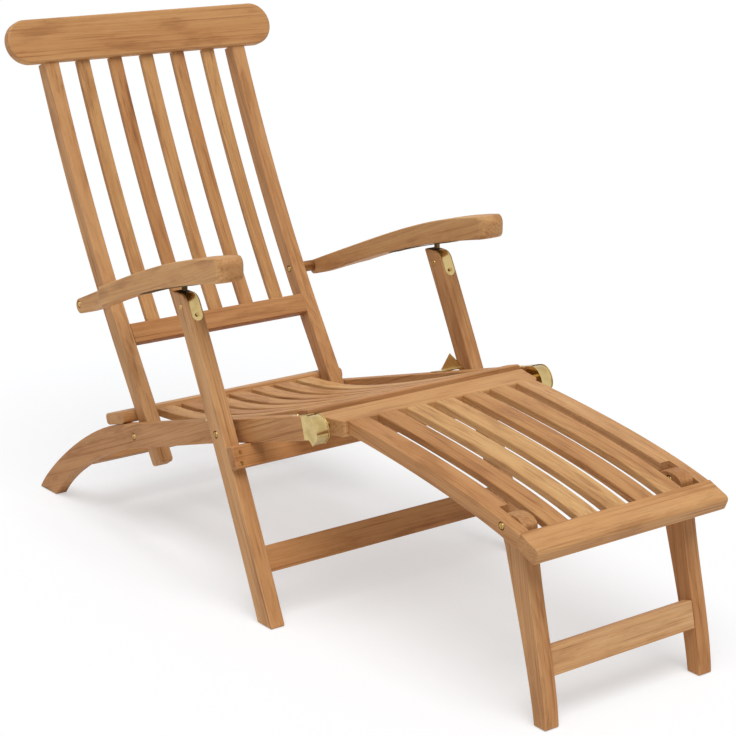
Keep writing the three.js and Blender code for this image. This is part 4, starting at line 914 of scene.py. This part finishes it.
def behind_front(points):
    """What lies behind the front rail, ending on its face."""
    kept = [p for p in points if (p - front_face).dot(foot_run) > 0.5]
    last = kept[-1]
    step = points[min(len(kept), len(points) - 1)] - last
    share = -(last - front_face).dot(foot_run) / step.dot(foot_run)
    return kept + [last + step * share]


def footrest_rail(side, sign):
    top, under = behind_front(foot_line(0, 0)), behind_front(foot_line(RAIL_AT_HINGE, RAIL_AT_FOOT))
    inner = FOOT_HALF - FOOT_WIDE
    mesh = sawn(top + under[::-1], *faces(sign, inner, FOOT_HALF), arris=2.4,
                sharp=(top[0], under[0], top[-1], under[-1]), bores=[(KNEE, sign)])
    near, far = faces(sign, inner - 5, inner + RELIEF)
    for rear, high in ((RELIEF_REAR, RELIEF_HIGH), (RELIEF_REAR_LOW, KNEE.y + 4)):
        mesh = cut_away(mesh, (near, RELIEF_FRONT, RELIEF_LOW), (far, HINGE.x - KNEE_REACH + rear, high))
    timber(f"footrest_rail_{side}", mesh, (0, *foot_grain), 71 + sign, "footrest", frame_teak)


mirrored(footrest_rail)
row_of_slats("footrest_slat", behind_front(foot_line(FOOT_SLAT / 2, FOOT_SLAT / 2)), "footrest",
             foot_grain, 75, count=5, pitch=61.5, width=FOOT_WIDE, thickness=FOOT_SLAT, rounding=2.6)


def chamfered(p):
    """Takes the front corners of the hinge rail off in plan."""
    lead = CHAMFER - (p.y - (HINGE.x - HINGE_FRONT))
    if lead > 0 and abs(p.x) > HINGE_HALF - 6:
        p.x -= math.copysign(lead, p.x)
    return p


hinge_rail = block(foot_start - at(0, HINGE_THICK), at(1, 0), HINGE_DEPTH, HINGE_THICK)
front_board = block(front_corner, foot_run, FRONT_DEPTH + 2, FRONT_THICK)
timber("footrest_hinge_rail", sawn(hinge_rail, -HINGE_HALF, HINGE_HALF, 2.2, 4, bend=chamfered),
       across, 78, "footrest", board_teak)
timber("footrest_front_rail",
       sawn(front_board, -FOOT_HALF, FOOT_HALF, 2.8, 8, sharp=front_board[1:3], steps=6),
       across, 79, "footrest", board_teak)

# Footrest legs: each turns on a bolt through a round knuckle beside the footrest rail, then sweeps
# forward to the ground. One brace joins the two.
FOOT_LEG_OUTER = FOOT_HALF - 22
FOOT_LEG_INNER = FOOT_LEG_OUTER - LEG_THICK
KNUCKLE_HALF, KNUCKLE_RISE, KNUCKLE_DROP = 28.0, 16.0, 2.0
ANKLE = 28.0
foot_toe = at(HINGE.x - FOOT_REACH, 0)
foot_heel = foot_toe + at(ANKLE, 0)
foot_leg_grain = at(0.2, 0.98)
shin = [KNEE + at(-KNUCKLE_HALF, -KNUCKLE_DROP), KNEE + at(-KNUCKLE_HALF, 0) + heading(-92.5) * 91,
        foot_toe + heading(90 - 4.2) * 95, foot_toe]
calf = [KNEE + at(KNUCKLE_HALF, -KNUCKLE_DROP), KNEE + at(KNUCKLE_HALF, 0) + heading(-90 - 15.2) * 84,
        foot_heel + heading(90 - 9.2) * 81, foot_heel]
knuckle = [KNEE + at(KNUCKLE_HALF * p.x, KNUCKLE_RISE * p.y - KNUCKLE_DROP)
           for p in arc(at(0, 0), 1, 0, 180, 30)]
foot_leg_outline = knuckle[:-1] + curved(shin, 26) + [foot_toe] + curved(calf[::-1], 26)


def footrest_leg(side, sign):
    mesh = sawn(foot_leg_outline, *faces(sign, FOOT_LEG_INNER, FOOT_LEG_OUTER), arris=2.4,
                bores=[(KNEE, -sign)])
    timber(f"footrest_leg_{side}", mesh, (0, *foot_leg_grain), 81 + sign, "footrest_legs", frame_teak)


mirrored(footrest_leg)
BRACE_AT, FOOT_BRACE_IN, FOOT_BRACE_HEIGHT, FOOT_BRACE_THICK = 0.667, 20.0, 47.0, 18.0
FOOT_BRACE_HALF = FOOT_LEG_INNER - GAP
shin_run = way_on(shin, BRACE_AT)
foot_brace_corner = (spot_on(shin, BRACE_AT) + shin_run * (FOOT_BRACE_HEIGHT / 2)
                     + square_to(shin_run) * FOOT_BRACE_IN)
foot_brace = block(foot_brace_corner, -shin_run, FOOT_BRACE_HEIGHT, FOOT_BRACE_THICK)
timber("footrest_leg_brace", sawn(foot_brace, -FOOT_BRACE_HALF, FOOT_BRACE_HALF, 0.6, 2.2), across, 85,
       "footrest_legs", frame_teak)

# Nose caps: sheet brass wrapped round each rail's nose, with a screwed tab on top, a band round the
# front that runs down to a pointed lip, and a plate on each face. They are the footrest's catches.


def brass(slot, name, base, dull, rough, tarnish):
    """Brass with a brushed skin, a little duller in soft random clouds and fine specks."""
    metal = Finish(bpy.data.materials.new(name))
    spot = metal.node("ShaderNodeTexCoord", out="Object")
    cloud = metal.noise(spot, (34.0, 34.0, 34.0), 3.0)
    brush = metal.noise(spot, (900.0, 140.0, 140.0), 3.0)
    speck = metal.between(metal.noise(spot, (420.0, 420.0, 420.0)), 0.60, 0.76)
    worn = metal.mix(metal.between(cloud, 0.42, 0.68) * tarnish + speck * 0.16, base, dull)
    return slot, metal.done(metal.node("ShaderNodeBsdfPrincipled", None, {
        "Base Color": worn, "Metallic": 1.0, "Roughness": rough + brush * 0.10 + speck * 0.10,
        "Normal": metal.bump(0.06, 0.0003, brush * 0.6 + cloud * 0.2)}))


sheet_brass = brass("brass_fittings", "brass_of_the_fittings", colour(206, 182, 126),
                    colour(164, 134, 78), 0.15, 0.5)
# Painted shade: the hook catches and the notch plates sit in the shade under the arms, and that shade is
# painted into this dark brass.
brass_painted_in_shade = brass("brass_fittings", "brass_darkened_as_painted_shade", colour(112, 92, 58), colour(62, 48, 30),
                   0.38, 0.8)


def strap(path, widths, middle, thickness):
    """A strip of sheet bent along the path of its inner face in the side plane, each point of the
    path with the strip's half width there."""
    work = bmesh.new()
    rows = [[work.verts.new(placed(middle + reach * k / 4, p)) for k in range(-4, 5)]
            for p, reach in zip(path, widths)]
    for a, b in zip(rows, rows[1:]):
        for k in range(len(a) - 1):
            work.faces.new((a[k], a[k + 1], b[k + 1], b[k]))
    mesh = bpy.data.meshes.new("strap")
    work.to_mesh(mesh)
    work.free()
    holder = linked("strap", mesh)
    sheet = holder.modifiers.new("sheet", "SOLIDIFY")
    sheet.thickness, sheet.offset = thickness * MM, -1.0
    edges = holder.modifiers.new("edges", "BEVEL")
    edges.width, edges.segments, edges.limit_method = 0.6 * MM, 3, "ANGLE"
    made = settled(holder)
    bpy.data.objects.remove(holder)
    return made


def joined(meshes):
    """Several meshes as one."""
    work = bmesh.new()
    for mesh in meshes:
        work.from_mesh(mesh)
    whole = bpy.data.meshes.new("whole")
    work.to_mesh(whole)
    work.free()
    return whole


PLATE, PLATE_PROUD, PLATE_DROP, BAND = 1.3, 0.3, 20.6, 1.5
TAB_BACK, TAB_LENGTH, TAB_HALF = 14.0, 42.0, 10.0
CAP_MIDDLE = (RAIL_INNER + SEAT_HALF) / 2
cheek, lip, heel = from_nose(-16, -22), from_nose(-1, -32), from_nose(10, -PLATE_DROP)
cap_outline = [from_nose(CAP_BACK, RAIL_RISE)] + nose_round(0.0, 20)
cap_outline += bow(cap_outline[-1], from_nose(-19.6, -17), cheek, 5)[1:] + [cheek, lip]
cap_outline += bow(lip, from_nose(5, -PLATE_DROP), heel, 6)[1:] + [heel, from_nose(CAP_BACK, -PLATE_DROP)]
band_line = [from_nose(-0.4, -30.6)]
band_line += bow(from_nose(-14.6, -21.4), from_nose(-18.1, -16.5),
                 from_nose(BAND - BULGE_REACH, -BULGE_DROP), 8)
band_line += nose_round(BAND, 24)[::-1] + [from_nose(CAP_BACK, RAIL_RISE - BAND)]


def nose_cap(side, sign):
    parts = [sawn(cap_outline, *faces(sign, near, near + PLATE), arris=0.25, corner=0.5, steps=1)
             for near in (RAIL_INNER - PLATE_PROUD, SEAT_HALF + PLATE_PROUD - PLATE)]
    parts.append(strap(band_line, [RAIL_THICK / 2 + 0.2] * len(band_line), sign * CAP_MIDDLE, BAND))
    parts.append(sawn(block(from_nose(TAB_BACK, RAIL_RISE - 1), rail_run, TAB_LENGTH, BAND),
                      *faces(sign, CAP_MIDDLE - TAB_HALF, CAP_MIDDLE + TAB_HALF), arris=0.4, corner=0.4,
                      steps=2))
    fitted(f"nose_cap_{side}_folded", joined(parts), "seat", sheet_brass, [f"nose_cap_{side}"])


mirrored(nose_cap)

# Arm hooks: a brass strap is screwed up the front of each front leg and rolls over its rounded top,
# where a lug stands up to catch one of the notches under the arm.
LEG_MIDDLE = (LEG_INNER + LEG_OUTER) / 2
HOOK_IN, HOOK_THICK, HOOK_DROP, HOOK_ROUND = LEG_TOP_RADIUS + GAP, 2.5, 34.0, 11.0
LUG_RISE, LUG_HEIGHT, LUG_NEAR, LUG_FAR, LUG_HALF = 12.0, 14.0, 3.5, 12.5, 3.5
leg_up, leg_face = heading(90 - top_lean), heading(180 - top_lean)
hook_low = hook_pin - leg_up * HOOK_DROP


def arm_hook(side, sign):
    turns = [k * math.pi / 24 for k in range(12)]
    path = [hook_low + leg_up * (HOOK_ROUND * (1 - math.cos(t))) + leg_face * HOOK_IN for t in turns]
    half = [max(0.8, HOOK_ROUND * math.sin(t)) for t in turns]
    path.append(hook_low + leg_up * HOOK_ROUND + leg_face * HOOK_IN)
    path += arc(hook_pin, HOOK_IN, 180 - top_lean, 90, 22)
    half += [HOOK_ROUND] * (len(path) - len(half))
    face = strap(path, half, sign * LEG_MIDDLE, HOOK_THICK)
    fitted(f"arm_hook_{side}_rolled", face, "front_legs", sheet_brass, [f"arm_hook_{side}"], flats=False)
    tail = [hook_pin + at(back, HOOK_IN) for back in (0.3, 12, 25)]
    catch = strap(tail, [HOOK_ROUND - 0.4] * 3, sign * LEG_MIDDLE, HOOK_THICK - 0.1)
    lug_top = hook_pin + at(0, HOOK_IN + HOOK_THICK + LUG_RISE)
    lug = [lug_top + at(back, -down) for back, down in (
        (LUG_NEAR, LUG_HEIGHT), (LUG_FAR, LUG_HEIGHT), (LUG_FAR, 0), (LUG_NEAR, 0))]
    tooth = sawn(lug, *faces(sign, LEG_MIDDLE - LUG_HALF, LEG_MIDDLE + LUG_HALF), arris=0.5, corner=1.5,
                 steps=2)
    # The catch and its lug are brass painted dark for the shade under the arm.
    fitted(f"arm_hook_{side}_catch", joined([catch, tooth]), "front_legs", brass_painted_in_shade)


mirrored(arm_hook)

# Notch plates and leg stops: flat brass, a plate with four notches let in under each arm, and a
# gusset on the inside of each front leg whose foot lands on the seat rail in the open chair.
for side in ("left", "right"):
    # The notch plates are brass painted dark for the shade under the arms.
    for name, (slot, material) in (("notch_plate", brass_painted_in_shade), ("leg_stop", sheet_brass)):
        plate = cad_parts[f"{name}_{side}"]
        plate.data.materials.clear()
        plate.data.materials.append(material)

# Pivot bolts: turned brass bolts carry every pivot, their heads sunk in the timbers, with a collar
# or a spacer where they hold two timbers apart. The footrest hangs on two plain pins.
turned_brass = brass("brass_bolts", "brass_of_the_bolts", colour(202, 168, 106),
                     colour(132, 98, 54), 0.24, 0.5)
bronzed_brass = brass("brass_bolts", "bronzed_brass_of_the_spacers", colour(150, 104, 62),
                      colour(98, 62, 36), 0.48, 0.7)
BOLT_RADIUS, SHANK_RADIUS, BOLT_SINK, BOLT_DISC = 5.8, 4.0, 1.6, 1.0
COLLAR_RADIUS, PIN_RADIUS = 11.0, 5.0


def turned(profile, centre, sign, segments=40):
    """A round bar from a profile of places along X and radii."""
    work = bmesh.new()
    rings = []
    for x, radius in profile:
        around = [centre + heading(360 * k / segments) * radius for k in range(segments if radius else 1)]
        rings.append([work.verts.new(placed(sign * x, p)) for p in around])
    for a, b in zip(rings, rings[1:]):
        for k in range(segments):
            j = (k + 1) % segments
            corners = [a[k % len(a)], a[j % len(a)], b[j % len(b)], b[k % len(b)]]
            work.faces.new([v for n, v in enumerate(corners) if v not in corners[:n]])
    return mesh_of(work, "turned")


def eased_bar(near, far, radius, bore=0.0, length=0.6, depth=0.6):
    """The profile of a bar or a collar that fills the room between two faces, its ends eased."""
    return [(near + GAP, bore), (near + GAP, radius - depth), (near + GAP + length, radius),
            (far - GAP - length, radius), (far - GAP, radius - depth), (far - GAP, bore)]


def bolt(name, body, centre, inner, outer, *collars):
    """A bolt through timbers from one face to another, with a collar in each room between two."""
    low, high = inner + GAP + BOLT_SINK, outer - GAP - BOLT_SINK
    shank = [(low, 0), (low, BOLT_RADIUS), (low + BOLT_DISC, BOLT_RADIUS), (low + BOLT_DISC, SHANK_RADIUS)]
    shank += [(low + high - x, radius) for x, radius in reversed(shank)]
    profiles = [shank] + [eased_bar(near, far, COLLAR_RADIUS) for near, far in collars]

    def make(side, sign):
        whole = joined([turned(profile, centre, sign) for profile in profiles])
        fitted(f"{name}_{side}_turned", whole, body, turned_brass, [f"{name}_{side}"])
    mirrored(make)


bolt("front_leg_bolt", "seat", LEG_PIVOT, RAIL_INNER, LEG_OUTER, (SEAT_HALF, LEG_INNER))
bolt("back_pivot_bolt", "seat", BACK_PIVOT, STILE_INNER, SEAT_HALF, (STILE_OUTER, RAIL_INNER))
bolt("footrest_leg_bolt", "footrest", KNEE, FOOT_LEG_INNER, FOOT_HALF)
bolt("arm_bolt", "backrest", ARM_PIVOT, STILE_INNER, TONGUE_FACE)
spacer_profile = eased_bar(STILE_OUTER, ARM_INNER, COLLAR_RADIUS, SHANK_RADIUS + 0.4)
pin_profile = eased_bar(HINGE_HALF - 18, SEAT_HALF - 8, PIN_RADIUS, length=0.5, depth=0.4)


def small_turnings(side, sign):
    fitted(f"arm_spacer_{side}_turned", turned(spacer_profile, ARM_PIVOT, sign), "backrest",
           bronzed_brass, [f"arm_spacer_{side}"])
    fitted(f"footrest_hinge_pin_{side}_turned", turned(pin_profile, HINGE, sign), "seat",
           turned_brass, [f"footrest_hinge_pin_{side}"])


mirrored(small_turnings)

# Screws and bolt heads: slotted brass screws hold the fittings and the upper brace. Heads of the
# same pattern, larger, close the pivot bolts. All are cut from one rule, each slot at its own angle.
SCREW_RADIUS, HEAD_RISE, SLOT_WIDTH = 3.4, 0.8, 1.0


def head_rule():
    """Slotted heads on points, sized and turned by what each point carries."""
    rule = Rule("slotted_heads", Radius="Float", Height="Float", Slot="Float", Seed="Int")
    given = rule.given
    radius, height = given["Radius"], given["Height"]
    blank = rule.node("GeometryNodeMeshCone", {
        "Vertices": 28, "Radius Top": rule.sum("MULTIPLY", radius, 0.86), "Radius Bottom": radius,
        "Depth": height})
    cutter = rule.node("GeometryNodeMeshCube", {
        "Size": rule.reach(X=rule.sum("MULTIPLY", radius, 3.0), Y=given["Slot"], Z=height)})
    raised = rule.node("GeometryNodeTransform", {"Geometry": cutter, "Translation": rule.reach(Z=height)})
    head = rule.node("GeometryNodeMeshBoolean", {0: blank, 1: raised}, operation="DIFFERENCE")
    way = rule.node("GeometryNodeInputNamedAttribute", {"Name": "way"}, data_type="FLOAT_VECTOR")
    size = rule.node("GeometryNodeInputNamedAttribute", {"Name": "size"}, data_type="FLOAT")
    stood = rule.node("FunctionNodeAlignRotationToVector", {"Vector": way}, axis="Z")
    heads = rule.node("GeometryNodeInstanceOnPoints", {
        "Points": given["Start"], "Instance": head, "Rotation": stood, "Scale": size})
    spin = rule.node("FunctionNodeRandomValue", {0: (0, 0, 0), 1: (0, 0, 3.14), "Seed": given["Seed"]},
                     data_type="FLOAT_VECTOR")
    rule.end(rule.node("GeometryNodeRotateInstances", {"Instances": heads, "Rotation": spin}))
    return rule


def both_sides(x, spot, way, radius):
    """Left and right places of a head: x, its place in the side plane, and the way it looks there,
    or along X where the way is 1 or -1."""
    found = []
    for sign in (-1, 1):
        look = Vector((0, *way)) if isinstance(way, Vector) else Vector((sign * way, 0, 0))
        found.append((placed(sign * x, spot), look, radius))
    return found


def bolt_heads(face, centre, outward):
    """The heads of two bolts, sunk in a face that looks outward, 1, or inward, -1."""
    return both_sides(face - outward * BOLT_SINK, centre, outward, BOLT_RADIUS)


cut_heads = head_rule()
brace_middle = (upper_brace[1] + upper_brace[2]) / 2 + brace_front * 0.1
hook_screw = hook_low + leg_up * HOOK_ROUND + leg_face * (HOOK_IN + HOOK_THICK + 0.1)
head_places = {
    "seat": both_sides(CAP_MIDDLE, from_nose(49, RAIL_RISE + 0.6), rail_up, SCREW_RADIUS)
    + bolt_heads(LEG_OUTER, LEG_PIVOT, 1) + bolt_heads(SEAT_HALF, BACK_PIVOT, 1)
    + bolt_heads(STILE_INNER, BACK_PIVOT, -1),
    "backrest": bolt_heads(STILE_INNER, ARM_PIVOT, -1) + bolt_heads(TONGUE_FACE, ARM_PIVOT, 1),
    "front_legs": both_sides(LEG_MIDDLE, hook_screw, leg_face, SCREW_RADIUS)
    + both_sides(LEG_OUTER - GAP, hook_pin, 1, 4.4)
    + both_sides(LEG_INNER + GAP, hook_pin, -1, 5.6)
    + both_sides(LEG_MIDDLE + 1, brace_middle + brace_up * 8, brace_front, 4.0)
    + both_sides(LEG_MIDDLE + 3, brace_middle - brace_up * 11, brace_front, 4.0),
    "footrest": bolt_heads(FOOT_HALF, KNEE, 1) + bolt_heads(FOOT_LEG_INNER, KNEE, -1),
}
for seed, (body, places) in enumerate(head_places.items(), 7):
    points = bpy.data.meshes.new("places")
    points.from_pydata([spot for spot, _, _ in places], [], [])
    ways = points.attributes.new("way", "FLOAT_VECTOR", "POINT")
    for mark, (_, way, _) in zip(ways.data, places):
        mark.vector = way
    sizes = points.attributes.new("size", "FLOAT", "POINT")
    for mark, (_, _, radius) in zip(sizes.data, places):
        mark.value = radius / SCREW_RADIUS
    heads = cut_heads.made(points, Radius=SCREW_RADIUS * MM, Height=HEAD_RISE * MM,
                           Slot=SLOT_WIDTH * MM, Seed=seed, Finish=turned_brass[1])
    fitted(f"{body}_screws_and_bolt_heads", heads, body, turned_brass)

# Floor and light: a white studio floor that keeps a faint shadow, under a wide soft light from
# above. The camera sees both as white, straight or in metal and glass.
WHITE = (1.0, 1.0, 1.0, 1.0)
SHADOW_KEPT, SKY_LIGHT, FLOOR_DROP = 0.5, 0.31, 0.0006


def seen_straight(finish):
    """1 for what the camera sees, also by way of metal or glass, and 0 for other light."""
    camera, metal, glass = (finish.node("ShaderNodeLightPath", out=f"Is {ray} Ray")
                            for ray in ("Camera", "Glossy", "Transmission"))
    return finish.sum("MAXIMUM", finish.sum("MAXIMUM", camera, metal), glass)


ground = bpy.data.meshes.new("studio_floor")
ground.from_pydata([(x, y, -FLOOR_DROP) for x, y in ((-40, -40), (40, -40), (40, 60), (-40, 60))], [],
                   [(0, 1, 2, 3)])
floor = linked("studio_floor", ground)
paper = Finish(bpy.data.materials.new("white_paper"))
matt = paper.node("ShaderNodeBsdfDiffuse", None, {"Color": (0.95, 0.966, 0.982, 1.0)})
glow = paper.node("ShaderNodeEmission", None, {"Color": WHITE, "Strength": 1.0})
ground.materials.append(paper.done(paper.node("ShaderNodeMixShader", None, {
    0: seen_straight(paper) * SHADOW_KEPT, 1: matt, 2: glow})))

studio = Finish(bpy.data.worlds.new("studio"))
dim, plain = (studio.node("ShaderNodeBackground", None, {"Color": WHITE, "Strength": strength})
              for strength in (SKY_LIGHT, 1.0))
bpy.context.scene.world = studio.done(studio.node("ShaderNodeMixShader", None, {
    0: seen_straight(studio), 1: dim, 2: plain}), "ShaderNodeOutputWorld")

SOFTBOX_STRENGTH, SOFTBOX_SPREAD, SOFTBOX_TILT, SOFTBOX_TURN = 2.5, 44, 22, -30
softbox = bpy.data.lights.new("overhead_softbox", "SUN")
softbox.energy, softbox.angle = SOFTBOX_STRENGTH, math.radians(SOFTBOX_SPREAD)
lamp = linked("overhead_softbox", softbox)
lamp.rotation_euler = (math.radians(SOFTBOX_TILT), 0.0, math.radians(SOFTBOX_TURN))
bpy.context.scene.view_settings.view_transform = "Standard"
